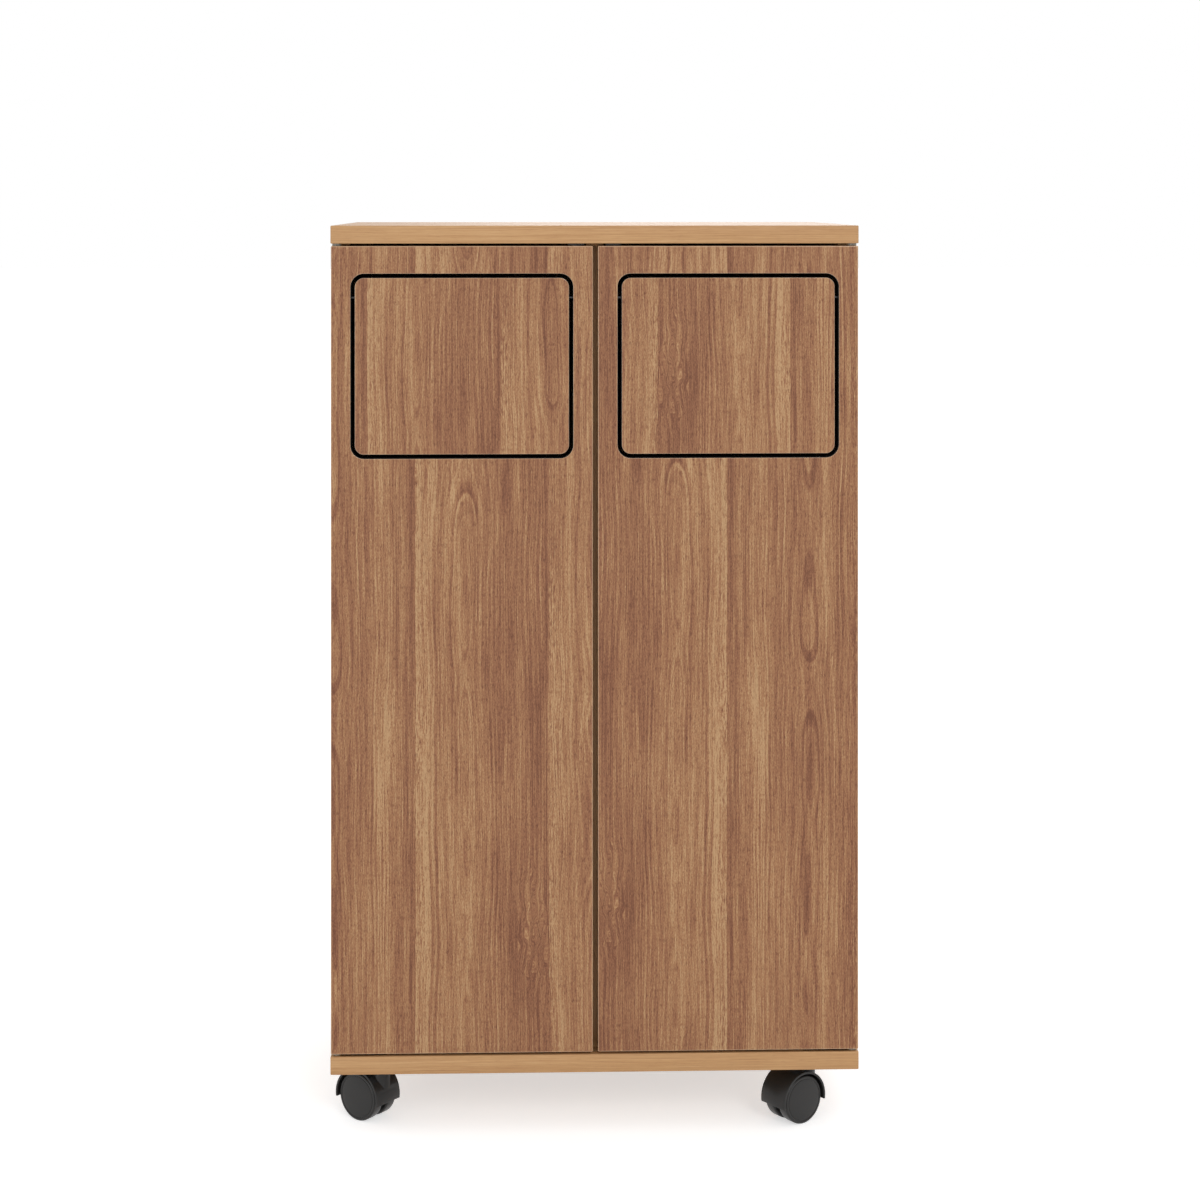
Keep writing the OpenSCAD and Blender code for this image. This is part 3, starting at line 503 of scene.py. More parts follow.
# %% [markdown]
# ## From loops to a plate
#
# Every board here is a plate with slightly rounded edges, and the doors have an opening with the
# same edges. A plate is made of loops: outlines that are drawn in or out by the rounding, at the
# depth where the rounding has that inset. Neighbouring loops are joined by strips, and the first
# and last loop are filled. A Bevel modifier on a box would round a plain board too, but loops give
# the opening the same edge, and keep the large faces as plain as they are on the real board.

# %% Outlines and roundings
# A corner never gets sharper than this, in metres, when its outline is drawn in
LEAST_RADIUS = 0.00005


def rounded_outline(low, high, radius, steps=6):
    """A function that gives the outline of a rounded rectangle, drawn in by an inset."""
    def points(inset):
        found = []
        r = max(radius - inset, LEAST_RADIUS)
        corners = [(1, 1, 0), (-1, 1, 90), (-1, -1, 180), (1, -1, 270)]
        for way_x, way_y, start in corners:
            cx = (high[0] if way_x > 0 else low[0]) - way_x*(inset + r)
            cy = (high[1] if way_y > 0 else low[1]) - way_y*(inset + r)
            for i in range(steps + 1):
                turn = math.radians(start + 90*i/steps)
                found.append((cx + r*math.cos(turn), cy + r*math.sin(turn)))
        return found
    return points


def rounding(thickness, edge, steps=4):
    """Pairs of (inset, depth) from the front face round the edge to the back face."""
    near = []
    for i in range(steps + 1):
        turn = math.radians(90*i/steps)
        near.append((edge*(1 - math.sin(turn)), edge*(1 - math.cos(turn))))
    return near + [(inset, thickness - depth) for inset, depth in reversed(near)]


print("A plate's edge has", len(rounding(18*MM, MM)), "loops")

# %% Plates and pieces
def join_loops(bm, loops):
    """Joins each loop of points to the next by a strip of faces. A loop of one point is a pole."""
    for one, two in zip(loops, loops[1:]):
        steps = max(len(one), len(two))
        for i in range(steps):
            j = (i + 1) % steps
            corners = [one[i % len(one)], one[j % len(one)], two[j % len(two)], two[i % len(two)]]
            bm.faces.new(list(dict.fromkeys(corners))).smooth = True


def plain_mesh(bm, name):
    """Turns a working mesh into a plain one of the given name, and frees it."""
    mesh = bpy.data.meshes.new(name)
    bm.to_mesh(mesh)
    bm.free()
    return mesh


def plate(name, place, outline, thickness, edge, opening=None):
    """A mesh for a board: place(a, b, depth) turns its own sizes into a point of the frame."""
    bm = bmesh.new()
    ends = []
    for shape, grow in ((outline, 1), (opening, -1)):
        if shape is None:
            continue
        loops = []
        for inset, depth in rounding(thickness, edge):
            loops.append([bm.verts.new(place(a, b, depth)) for a, b in shape(grow*inset)])
        join_loops(bm, loops)
        ends.append((loops[0], loops[-1]))
    for side in (0, 1):
        if opening is None:
            bm.faces.new(ends[0][side])
        else:
            rims = []
            for end in ends:
                rim = end[side]
                rims += [bm.edges.get((rim[i], rim[(i + 1) % len(rim)])) for i in range(len(rim))]
            bmesh.ops.triangle_fill(bm, use_beauty=True, edges=rims)
    bmesh.ops.recalc_face_normals(bm, faces=bm.faces)
    return plain_mesh(bm, name)


def add_piece(name, mesh, body, material, slot, *nodes):
    """Puts a finished mesh on its body, in place of the nodes that it stands for."""
    piece = bpy.data.objects.new(name, mesh)
    bpy.context.scene.collection.objects.link(piece)
    mesh.materials.clear()
    mesh.materials.append(material)
    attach(piece, body)
    if nodes:
        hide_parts(*nodes)
    return piece


print("A plate can be made, with an opening or without, and put on its body")

# %% [markdown]
# ## Laying the grain
#
# A laminate is a sheet: it has a front, and narrow bands on the edges, each with the same print.
# A map made in code says which way the grain runs on each face. It could be unwrapped by hand, but
# then each change of size would need that again. Pieces that are cut from one sheet share their
# numbers, so the grain runs on from one to the next, and other pieces get an offset. An attribute
# marks the edges, where a glossier banding shows, and a pale painted highlight, most of all on their
# rounding.

# %% The grain map
# Where the bands on faces along X, Y and Z are cut from the sheet, in metres
BAND_OFFSET = (0.61, 0.0, 0.29)
# How far a normal points one way on a flat face, and on the half of a rounding that belongs to it
FLAT = 0.99
STEEP = 0.85
# How much of the rounding's gloss and painted highlight the flat of an edge band has
BAND_SHARE = 0.6


def mesh_span(mesh, axis):
    """The size of a mesh along one axis."""
    places = [vert.co[axis] for vert in mesh.vertices]
    return max(places) - min(places)


def lay_grain(mesh, along, shift=(0.0, 0.0), mirrored=False):
    """Writes the map named grain, x across and y along in metres, and marks the edges for gloss and a
    painted highlight.
    """
    layer = mesh.uv_layers.new(name="grain")
    marks = mesh.attributes.new("banding", "FLOAT", "FACE")
    thin = min(range(3), key=lambda axis: mesh_span(mesh, axis))
    for face in mesh.polygons:
        facing = max(range(3), key=lambda axis: abs(face.normal[axis]))
        # The mark sets an edge's gloss and its painted highlight, less on the flat of a band than on its
        # rounding
        sheen_and_highlight_share = BAND_SHARE if abs(face.normal[facing]) > FLAT else 1.0
        marks.data[face.index].value = 0.0 if abs(face.normal[thin]) > FLAT else sheen_and_highlight_share
        free = [axis for axis in range(3) if axis != facing]
        length = along if along in free else free[0]
        width = free[0] if length == free[1] else free[1]
        for corner in face.loop_indices:
            point = mesh.vertices[mesh.loops[corner].vertex_index].co
            across = -point[width] if mirrored else point[width]
            layer.data[corner].uv = (across + shift[0] + BAND_OFFSET[facing], point[length] + shift[1])


def mark_painted_gap_shade(mesh, low, high):
    """Marks the walls between two corners, up to the outer half of their rounding, for painted shade."""
    marks = mesh.attributes.new("sealed", "FLOAT", "FACE")
    for face in mesh.polygons:
        inside = low.x < face.center.x < high.x and low.z < face.center.z < high.z
        marks.data[face.index].value = 1.0 if inside and abs(face.normal.y) < STEEP else 0.0


print("Grain runs along axis 0, 1 or 2, with bands offset by", BAND_OFFSET)

# %% [markdown]
# ## Cutting seats
#
# Hinge leaves lie flush in the boards and in the doors' edges, and the cams of the fittings sit in
# round pockets. Such a seat is cut with a Boolean: a cutter that stands a little proud of the face,
# joined from all the seats of a board, so that the board is cut once. Modelled into the plate's
# loops instead, each seat would need a ring of faces of its own.

# %% The solids of a node
def solid_boxes(node):
    """The lowest and highest corner of each separate solid of a node, in order of place."""
    bm = bmesh.new()
    bm.from_mesh(frame["nodes"][node].data)
    bmesh.ops.remove_doubles(bm, verts=bm.verts, dist=1e-6)
    left = set(bm.verts)
    found = []
    while left:
        front = [left.pop()]
        group = []
        while front:
            vert = front.pop()
            group.append(vert.co.copy())
            for edge in vert.link_edges:
                other = edge.other_vert(vert)
                if other in left:
                    left.remove(other)
                    front.append(other)
        low = Vector([min(p[axis] for p in group) for axis in range(3)])
        high = Vector([max(p[axis] for p in group) for axis in range(3)])
        found.append((low, high))
    bm.free()
    return sorted(found, key=lambda pair: tuple(round(c, 4) for c in (*pair[0], *pair[1])))


leaves = solid_boxes("board_hinge_leaves")
print("The hinge leaves of the boards are", len(leaves), "solids")

# %% Cutters and cuts
def prism(outline_points, place, depth_low, depth_high):
    """A closed prism as (points, faces), between two depths."""
    n = len(outline_points)
    points = [place(a, b, depth) for depth in (depth_low, depth_high) for a, b in outline_points]
    faces = [tuple(reversed(range(n))), tuple(range(n, 2*n))]
    faces += [(i, (i + 1) % n, n + (i + 1) % n, n + i) for i in range(n)]
    return points, faces


def evaluated(holder):
    """The mesh that an object has after its modifiers, as plain data."""
    return bpy.data.meshes.new_from_object(holder.evaluated_get(bpy.context.evaluated_depsgraph_get()))


def cut(mesh, prisms):
    """Cuts all the prisms out of a mesh and gives back the new mesh."""
    bm = bmesh.new()
    for points, faces in prisms:
        verts = [bm.verts.new(p) for p in points]
        for face in faces:
            bm.faces.new([verts[i] for i in face])
    bmesh.ops.recalc_face_normals(bm, faces=bm.faces)
    cutter = bpy.data.objects.new("cutter", plain_mesh(bm, "cutter"))
    board = bpy.data.objects.new("board", mesh)
    for obj in (cutter, board):
        bpy.context.scene.collection.objects.link(obj)
    modifier = board.modifiers.new("seats", "BOOLEAN")
    modifier.operation = "DIFFERENCE"
    modifier.solver = "EXACT"
    modifier.object = cutter
    result = evaluated(board)
    result.name = mesh.name
    for obj in (cutter, board):
        bpy.data.objects.remove(obj)
    return result


print("A board is cut once, by all its cutters together")

# %% [markdown]
# ## The boards
#
# The top and bottom board are plates whose thickness runs along Z. The uprights are plates whose
# thickness runs along X. Their edges are banded with 1 mm strips, rounded over by the machine. One
# function makes them all, given a rule that turns a board's own sizes into a place in the cabinet.

# %% Top and bottom board
# The rounding of the edges, seen from the side, and of the corners, seen from the front
EDGE = 0.9*MM
CORNER = 0.9*MM
# How far a cutter stands out of the face, and the play round the piece that it makes room for
PROUD = 1*MM
SEAT_GAP = 0.05*MM
LEAF_THICK = 2.5*MM
# What lies above this height belongs to the top board, and what lies below to the bottom board
MIDDLE_HEIGHT = 0.485
# How far from the top board's place the bottom board is cut out of the sheet, in metres
BOARD_PRINT = (0.4, 0.13)


def up(low):
    """A place function for a plate that lies flat."""
    return lambda a, b, depth: (a, b, low + depth)


def leaf_seat(low, high, face_z, into):
    """The cutter for a hinge leaf: a slot from the face into the board, round at the pivot."""
    outwards = 1 if low.x + high.x > 0 else -1
    middle_y = (low.y + high.y)/2
    half = (high.y - low.y)/2
    pivot_x = (high.x if outwards > 0 else low.x) - outwards*half
    end_x = (low.x if outwards > 0 else high.x) - outwards*SEAT_GAP
    half += SEAT_GAP
    turns = [math.radians(15*step - 90) for step in range(13)]
    points = [(pivot_x + outwards*half*math.cos(t), middle_y + half*math.sin(t)) for t in turns]
    points += [(end_x, middle_y + half), (end_x, middle_y - half)]
    return prism(points, up(0), *sorted((face_z - into*PROUD, face_z + into*LEAF_THICK)))


for node, face in (("top_board", 0), ("bottom_board", 1)):
    low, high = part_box(node)
    mesh = plate(node, up(low.z), rounded_outline(low.xy, high.xy, CORNER, 3), high.z - low.z, EDGE)
    print(node, "is", [round(c/MM, 1) for c in high - low], "mm")
    seats = []
    for leaf_low, leaf_high in leaves:
        if (leaf_low.z > MIDDLE_HEIGHT) == (node == "top_board"):
            into = 1 if face == 0 else -1
            seats.append(leaf_seat(leaf_low, leaf_high, low.z if face == 0 else high.z, into))
    mesh = cut(mesh, seats)
    lay_grain(mesh, 0, [shift*face for shift in BOARD_PRINT])
    add_piece(node + "_oak", mesh, "cabinet", oak, "oak_board", node)

# %% Bores along X
def sideways(low):
    """A place function for a plate that stands with its thickness along X."""
    return lambda a, b, depth: (low + depth, a, b)


def bore(low, high, radius, steps, span):
    """The cutter for a round bore along X, with a little play round the piece that it is for."""
    middle = (low + high)/2
    circle = rounded_outline((middle.y - radius, middle.z - radius),
        (middle.y + radius, middle.z + radius), radius, steps)
    return prism(circle(-SEAT_GAP), sideways(0), *span)


cams = solid_boxes("cam_locks")
print("The panels need", len(cams), "pockets for their cams")

# %% Uprights and back
def forward(low):
    """A place function for a plate that stands with its thickness along Y."""
    return lambda a, b, depth: (a, low + depth, b)


CAM_RADIUS = 7.5*MM
# The rounding of the uprights' edges, and that of their corners and of the thin back
SOFT_EDGE = 0.6*MM
THIN_EDGE = 0.2*MM
# Where the first upright is cut out of the sheet, how far on each next one is, and the back's place
UPRIGHT_PRINT = (0.17, 0.0)
UPRIGHT_STEP = (0.31, 0.2)
BACK_PRINT = (0.9, 0.4)

for number, node in enumerate(("left_side_panel", "centre_divider", "right_side_panel")):
    low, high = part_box(node)
    outline = rounded_outline((low.y, low.z), (high.y, high.z), THIN_EDGE, 2)
    mesh = plate(node, sideways(low.x), outline, high.x - low.x, SOFT_EDGE)
    pockets = []
    for cam_low, cam_high in cams:
        if low.x < (cam_low.x + cam_high.x)/2 < high.x:
            at_high = cam_high.x > high.x - MM
            span = (cam_low.x, high.x + PROUD) if at_high else (low.x - PROUD, cam_high.x)
            pockets.append(bore(cam_low, cam_high, CAM_RADIUS, 8, span))
    mesh = cut(mesh, pockets)
    lay_grain(mesh, 2, [start + step*number for start, step in zip(UPRIGHT_PRINT, UPRIGHT_STEP)])
    add_piece(node + "_oak", mesh, "cabinet", oak, "oak_board", node)
    print(node, "has", len(pockets), "cam pockets")

low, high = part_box("back_panel")
outline = rounded_outline((low.x, low.z), (high.x, high.z), THIN_EDGE, 2)
mesh = plate("back_panel", forward(low.y), outline, high.y - low.y, THIN_EDGE)
lay_grain(mesh, 2, BACK_PRINT)
add_piece("back_panel_oak", mesh, "cabinet", oak, "back_board", "back_panel")

# %% [markdown]
# ## Doors and flaps
#
# Each door is a plate with a round-cornered opening, and each flap is a plate that fills it with an
# even gap. The right door's print is the left one's, turned over, and the flaps are cut from
# other places of the sheet, so their figure doesn't run on into the door. The walls of the gap
# between them are coloured near black: a painted shade that makes the gap an even dark line from
# the front. It is an attribute on those faces and no piece of its own.

# %% Doors
OPENING_RADIUS = 13*MM
# The even gap round a flap, sideways and in height
GAP_ROUND = Vector((3.5*MM, 0, 3.5*MM))
# A margin, so that the box of an opening or a flap takes in its own rounding
AROUND = Vector((MM, 0, MM))
# Where the sheet's corner lies on the left door, and where it is turned over for the right one
PRINT_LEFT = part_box("left_door")[0].x
PRINT_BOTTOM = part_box("left_door")[0].z
MIRROR_LINE = 214*MM
MIRROR_DROP = 30*MM

for side in ("left", "right"):
    low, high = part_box(side + "_door")
    flap_low, flap_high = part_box(side + "_flap")
    edge_low, edge_high = flap_low - GAP_ROUND, flap_high + GAP_ROUND
    opening = rounded_outline(edge_low.xz, edge_high.xz, OPENING_RADIUS, 10)
    mesh = plate(side + "_door", forward(low.y), rounded_outline(low.xz, high.xz, CORNER, 3),
        high.y - low.y, EDGE, opening)
    seats = []
    for leaf_low, leaf_high in solid_boxes(side + "_door_leaves"):
        top = leaf_high.z > high.z - MM
        seats.append(leaf_seat(leaf_low, leaf_high, high.z if top else low.z, -1 if top else 1))
    mesh = cut(mesh, seats)
    if side == "left":
        lay_grain(mesh, 2, (-PRINT_LEFT, -PRINT_BOTTOM))
    else:
        lay_grain(mesh, 2, (MIRROR_LINE + low.x, -PRINT_BOTTOM - MIRROR_DROP), mirrored=True)
    mark_painted_gap_shade(mesh, edge_low - AROUND, edge_high + AROUND)
    add_piece(side + "_door_walnut", mesh, side + "_door", walnut, "walnut_board", side + "_door")
    print(side, "door:", len(mesh.polygons), "faces")

# %% Flaps
FLAP_RADIUS = 9.5*MM
BUSH_RADIUS = 3*MM
BUSH_LENGTH = 14*MM
# The place of the sheet that each flap is cut from
FLAP_PRINT = {"left": (-PRINT_LEFT + 0.048, -PRINT_BOTTOM - 0.243),
    "right": (0.278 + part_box("right_door")[0].x, -PRINT_BOTTOM - 0.56)}
for side in ("left", "right"):
    low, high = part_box(side + "_flap")
    mesh = plate(side + "_flap", forward(low.y), rounded_outline(low.xz, high.xz, FLAP_RADIUS, 8),
        high.y - low.y, EDGE)
    bores = []
    for bush_low, bush_high in solid_boxes(side + "_flap_bushes"):
        at_low = bush_low.x < low.x + MM
        span = (low.x - PROUD, low.x + BUSH_LENGTH) if at_low else (high.x - BUSH_LENGTH, high.x + PROUD)
        bores.append(bore(bush_low, bush_high, BUSH_RADIUS, 6, span))
    mesh = cut(mesh, bores)
    lay_grain(mesh, 2, FLAP_PRINT[side], mirrored=side == "right")
    mark_painted_gap_shade(mesh, low - AROUND, high + AROUND)
    add_piece(side + "_flap_walnut", mesh, side + "_flap", walnut, "walnut_board", side + "_flap")
    print(side, "flap:", len(mesh.polygons), "faces")

# %% [markdown]
# ## Pieces that keep their model's shape
#
# Leaves, latches, plates and pins already have the right shape in the model. What they lack is the
# small radius that every real edge has, and that catches the light. A copy of such a mesh is
# merged, its flat faces are joined up, and its sharp edges are bevelled. Building these pieces anew
# would only repeat the model. Round ones, such as pins and washers, just get a better finish.

# %% Break the edges of a copy
# Faces that meet at a larger angle than this have an edge between them that shows
SHARP = math.radians(35)


def soften(node, body, material, slot, radius):
    """A copy of a node's mesh whose sharp edges are rounded a little, in place of the node."""
    bm = bmesh.new()
    bm.from_mesh(frame["nodes"][node].data)
    bmesh.ops.remove_doubles(bm, verts=bm.verts, dist=1e-6)
    bmesh.ops.dissolve_limit(bm, angle_limit=math.radians(1), verts=bm.verts, edges=bm.edges)
    sharp = [e for e in bm.edges if len(e.link_faces) == 2 and e.calc_face_angle(0) > SHARP]
    bmesh.ops.bevel(bm, geom=sharp, offset=radius, segments=2, profile=0.5, affect="EDGES",
        clamp_overlap=True)
    bmesh.ops.dissolve_degenerate(bm, dist=1e-6, edges=bm.edges)
    for face in bm.faces:
        face.smooth = True
    mesh = plain_mesh(bm, node)
    mesh.set_sharp_from_angle(angle=SHARP)
    return add_piece(node + "_soft", mesh, body, material, slot, node)


def keep(node, material):
    """The model's own mesh, with a better finish."""
    data = frame["nodes"][node].data
    data.materials.clear()
    data.materials.append(material)


print("Edges over", round(math.degrees(SHARP)), "degrees are broken")

# %% Soften or keep
soften("board_hinge_leaves", "cabinet", brass, "brass", 0.25*MM)
soften("latch_bodies", "cabinet", latch_grey, "grey_plastic", 0.5*MM)
soften("caster_plates", "cabinet", zinc, "zinc_steel", 0.3*MM)
for side in ("left", "right"):
    soften(side + "_door_leaves", side + "_door", brass, "brass", 0.25*MM)
    soften(side + "_plunger", side + "_plunger", charcoal, "charcoal_plastic", 0.2*MM)
    soften(side + "_strike", side + "_door", zinc, "zinc_steel", 0.15*MM)
    keep(side + "_magnet", zinc)
    keep(side + "_flap_pins", steel)
    keep(side + "_flap_bushes", nylon)
keep("hinge_washers", nylon)
keep("cam_bolts", zinc)
keep("king_pins", zinc)
keep("snap_rings", zinc)

# %% [markdown]
# ## Screws
#
# A cabinet like this has dozens of the same few screws, so they are made by one geometry tree. It
# takes the sizes of a screw, builds shaft and head, presses a cross recess into the head, and puts
# a copy at each point of a carrier mesh. An attribute called aim says which way each one is driven.
# A mesh for each kind would do as well, but a tree takes another length or head as a new number.

# %% Steps of a geometry tree
def geometry_graph(name, sizes):
    """A geometry tree with one carrier input, the given size inputs and a finish input."""
    tree = bpy.data.node_groups.new(name, "GeometryNodeTree")
    tree.interface.new_socket("Carrier", in_out="INPUT", socket_type="NodeSocketGeometry")
    for size in sizes:
        tree.interface.new_socket(size, in_out="INPUT", socket_type="NodeSocketFloat")
    tree.interface.new_socket("Finish", in_out="INPUT", socket_type="NodeSocketMaterial")
    tree.interface.new_socket("Pieces", in_out="OUTPUT", socket_type="NodeSocketGeometry")
    graph = Graph(tree)
    group = graph.add("NodeGroupInput").socket.node
    return graph, {socket.name: Wire(graph, socket) for socket in group.outputs if socket.name}


def at(graph, x=0.0, y=0.0, z=0.0):
    """A vector from three numbers or wires."""
    return graph.add("ShaderNodeCombineXYZ", {}, {"X": x, "Y": y, "Z": z})


def moved(graph, shape, **place):
    """A shape moved by the given x, y and z."""
    return graph.add("GeometryNodeTransform", {}, {"Geometry": shape, "Translation": at(graph, **place)})


def combine(graph, operation, first, *others):
    """A Boolean of one shape with others."""
    if operation == "DIFFERENCE":
        shapes = {"Mesh 1": first, "Mesh 2": [*others]}
    else:
        shapes = {"Mesh 2": [first, *others]}
    return graph.add("GeometryNodeMeshBoolean", {"operation": operation, "solver": "EXACT"}, shapes, "Mesh")


def cross(graph, width, length, depth):
    """Two crossed bars that stand with their middle in the plane of the head."""
    bars = [graph.add("GeometryNodeMeshCube", {}, {"Size": at(graph, *sizes, depth*2)})
        for sizes in ((width, length), (length, width))]
    return combine(graph, "UNION", *bars)


print("Shapes can be moved, combined and crossed in a tree")

# %% The screw tree
SLIVER = 0.001*MM
# How wide and how deep the bars of a cross recess are, as shares of their length
BAR_WIDTH = 0.28
BAR_DEPTH = 0.45


def scatter(graph, inputs, shape):
    """Puts the shape on each carrier point, its Z along aim and its X along lean, and ends the tree."""
    # A Boolean leaves slivers without width, which are merged away
    clean = graph.add("GeometryNodeMergeByDistance", {}, {"Geometry": shape, "Distance": SLIVER})
    turn = None
    for axis, pivot, name in (("Z", "AUTO", "aim"), ("X", "Z", "lean")):
        vector = graph.add("GeometryNodeInputNamedAttribute", {"data_type": "FLOAT_VECTOR"}, {"Name": name})
        values = {"Vector": vector} if turn is None else {"Vector": vector, "Rotation": turn}
        turn = graph.add("FunctionNodeAlignRotationToVector", {"axis": axis, "pivot_axis": pivot}, values)
    copies = graph.add("GeometryNodeInstanceOnPoints", {},
        {"Points": inputs["Carrier"], "Instance": clean, "Rotation": turn})
    plain = graph.add("GeometryNodeRealizeInstances", {}, {"Geometry": copies})
    dressed = graph.add("GeometryNodeSetMaterial", {}, {"Geometry": plain, "Material": inputs["Finish"]})
    graph.add("NodeGroupOutput", {}, {"Pieces": dressed})
    return graph.tree


def screw_tree():
    """One screw: its face plane is at 0, the shaft goes to +Z and a pan head stands out to -Z."""
    graph, size = geometry_graph("screw", ["Shaft", "Length", "Head", "Neck", "Height", "Proud", "Recess"])
    buried = size["Height"]*0.5 - size["Proud"]
    long = size["Length"] - buried
    shaft = graph.add("GeometryNodeMeshCylinder", {},
        {"Vertices": 24, "Radius": size["Shaft"]*0.5, "Depth": long}, "Mesh")
    shaft = moved(graph, shaft, z=buried + long*0.5)
    head = graph.add("GeometryNodeMeshCone", {}, {"Vertices": 32, "Radius Top": size["Neck"]*0.5,
        "Radius Bottom": size["Head"]*0.5, "Depth": size["Height"]}, "Mesh")
    head = moved(graph, head, z=0 - size["Proud"])
    solid = combine(graph, "UNION", shaft, head)
    across = size["Recess"]
    recess = moved(graph, cross(graph, across*BAR_WIDTH, across, across*BAR_DEPTH), z=0 - size["Proud"])
    return scatter(graph, size, combine(graph, "DIFFERENCE", solid, recess))


screws = screw_tree()
print("The screw tree has", len(screws.nodes), "nodes")

# %% [markdown]
# ## Where the screws go
#
# The model already has every screw in its place, so the carrier's points are read from it: one at
# the middle of each solid's head end, with the way that the shaft points. A list of places by hand
# would do, but it would no longer fit when a size of the model changes.

# %% Carriers and what grows on them
def carrier(name, places):
    """A mesh of single points, each with the way its piece is driven and the way its X leans."""
    mesh = bpy.data.meshes.new(name)
    mesh.from_pydata([place for place, _, _ in places], [], [])
    for attribute, index in (("aim", 1), ("lean", 2)):
        layer = mesh.attributes.new(attribute, "FLOAT_VECTOR", "POINT")
        for i, entry in enumerate(places):
            layer.data[i].vector = entry[index]
    return mesh


def grow(name, mesh, tree, sizes, material):
    """Runs a geometry tree on a carrier and returns the plain mesh, with its sharp edges marked."""
    holder = bpy.data.objects.new(name, mesh)
    bpy.context.scene.collection.objects.link(holder)
    modifier = holder.modifiers.new(name, "NODES")
    modifier.node_group = tree
    values = {**sizes, "Finish": material}
    for item in tree.interface.items_tree:
        if item.in_out == "INPUT" and item.name in values:
            modifier[item.identifier] = values[item.name]
    result = evaluated(holder)
    holder.modifiers.remove(modifier)
    bpy.data.objects.remove(holder)
    for face in result.polygons:
        face.use_smooth = True
    result.set_sharp_from_angle(angle=SHARP)
    result.name = name
    return result


screw_sizes = [item.name for item in screws.interface.items_tree if item.socket_type == "NodeSocketFloat"]
print("A screw is grown from its", ", ".join(screw_sizes))

# %% Drive the screws
def head_places(node, axis, ways):
    """Points at the head end of each solid of a node; ways tells +1 or -1 from a solid's middle."""
    places = []
    for low, high in solid_boxes(node):
        middle = (low + high)/2
        way = ways(middle)
        point = middle.copy()
        point[axis] = low[axis] if way > 0 else high[axis]
        aim = Vector([way if i == axis else 0 for i in range(3)])
        lean = Vector((1, 1, 0)) if axis == 2 else Vector((1, 0, 1))
        places.append((point, aim, lean))
    return places


def countersunk(length, head=5.7*MM, height=1.35*MM):
    """The sizes of a small countersunk screw of a given length."""
    return {"Shaft": 3*MM, "Length": length, "Head": head, "Neck": 3*MM, "Height": height,
        "Proud": 0.0, "Recess": 3.2*MM}


PAN_HEAD = {"Shaft": 4*MM, "Length": 14.5*MM, "Head": 6*MM, "Neck": 7.6*MM, "Height": 1.8*MM,
    "Proud": 1.8*MM, "Recess": 4.2*MM}
SCREWS = [
    ("board_leaf_screws", "cabinet", 2, lambda p: 1 if p.z > MIDDLE_HEIGHT else -1, countersunk(13*MM)),
    ("latch_screws", "cabinet", 2, lambda p: 1, countersunk(30*MM)),
    ("caster_screws", "cabinet", 2, lambda p: 1, PAN_HEAD)]
for side in ("left", "right"):
    door = side + "_door"
    SCREWS += [
        (side + "_leaf_screws", door, 2, lambda p: -1 if p.z > MIDDLE_HEIGHT else 1, countersunk(13*MM)),
        (side + "_strike_screw", door, 1, lambda p: -1, countersunk(13*MM, 4.6*MM, 0.8*MM))]
for node, body, axis, ways, sizes in SCREWS:
    places = head_places(node, axis, ways)
    if sizes["Proud"]:
        places = [(point + aim*sizes["Proud"], aim, lean) for point, aim, lean in places]
    mesh = grow(node, carrier(node, places), screws, sizes, zinc)
    add_piece(node + "_driven", mesh, body, zinc, "zinc_steel", node)
    print(node, len(places), "screws,", len(mesh.polygons), "faces")

# %% [markdown]
# ## Cam locks
#
# The uprights are held by cam fittings. Each is a round zinc casting in a pocket of the panel: it
# has a cross recess for the driver, an arrow that shows its open side, and a channel for the bolt
# that it pulls on. The arrow of each one points to the board that it holds. There are twelve of
# them, all alike, so a second tree makes one and puts it in place as the screws' tree does.

# %% The cam tree
def cam_tree():
    """One cam: its face is at 0, its body goes to +Z and its bolt comes from +X."""
    graph, size = geometry_graph("cam_lock", ["Width", "Depth", "Bolt", "Bolt depth"])
    body = graph.add("GeometryNodeMeshCylinder", {}, {"Vertices": 48, "Radius": size["Width"]*0.5,
        "Depth": size["Depth"]}, "Mesh")
    body = moved(graph, body, z=size["Depth"]*0.5)
    # A cone of 45 degrees that is longer than the body leaves a chamfer of 0.5 mm round its face
    narrow = size["Width"]*0.5 - 1.5*MM
    reach = size["Depth"] + 2*MM
    chamfer = graph.add("GeometryNodeMeshCone", {}, {"Vertices": 48, "Radius Top": narrow + reach,
        "Radius Bottom": narrow, "Depth": reach}, "Mesh")
    chamfer = moved(graph, chamfer, z=-1*MM)
    # The channel lets the bolt in from the side, and a small triangle in the face points to it
    channel = graph.add("GeometryNodeMeshCylinder", {}, {"Vertices": 24, "Radius": size["Bolt"]*0.5,
        "Depth": size["Width"]}, "Mesh")
    channel = graph.add("GeometryNodeTransform", {}, {"Geometry": channel,
        "Translation": at(graph, size["Width"]*0.5 - size["Bolt"]*0.5, 0.0, size["Bolt depth"]),
        "Rotation": (0, math.radians(90), 0)})
    arrow = graph.add("GeometryNodeMeshCone", {}, {"Vertices": 3, "Radius Top": 1.4*MM,
        "Radius Bottom": 1.4*MM, "Depth": 1.2*MM}, "Mesh")
    arrow = moved(graph, arrow, x=size["Width"]*0.36, z=-0.6*MM)
    solid = combine(graph, "INTERSECT", body, chamfer)
    solid = combine(graph, "DIFFERENCE", solid, cross(graph, 1.2*MM, size["Width"]*0.42, 2*MM))
    return scatter(graph, size, combine(graph, "DIFFERENCE", solid, channel, arrow))


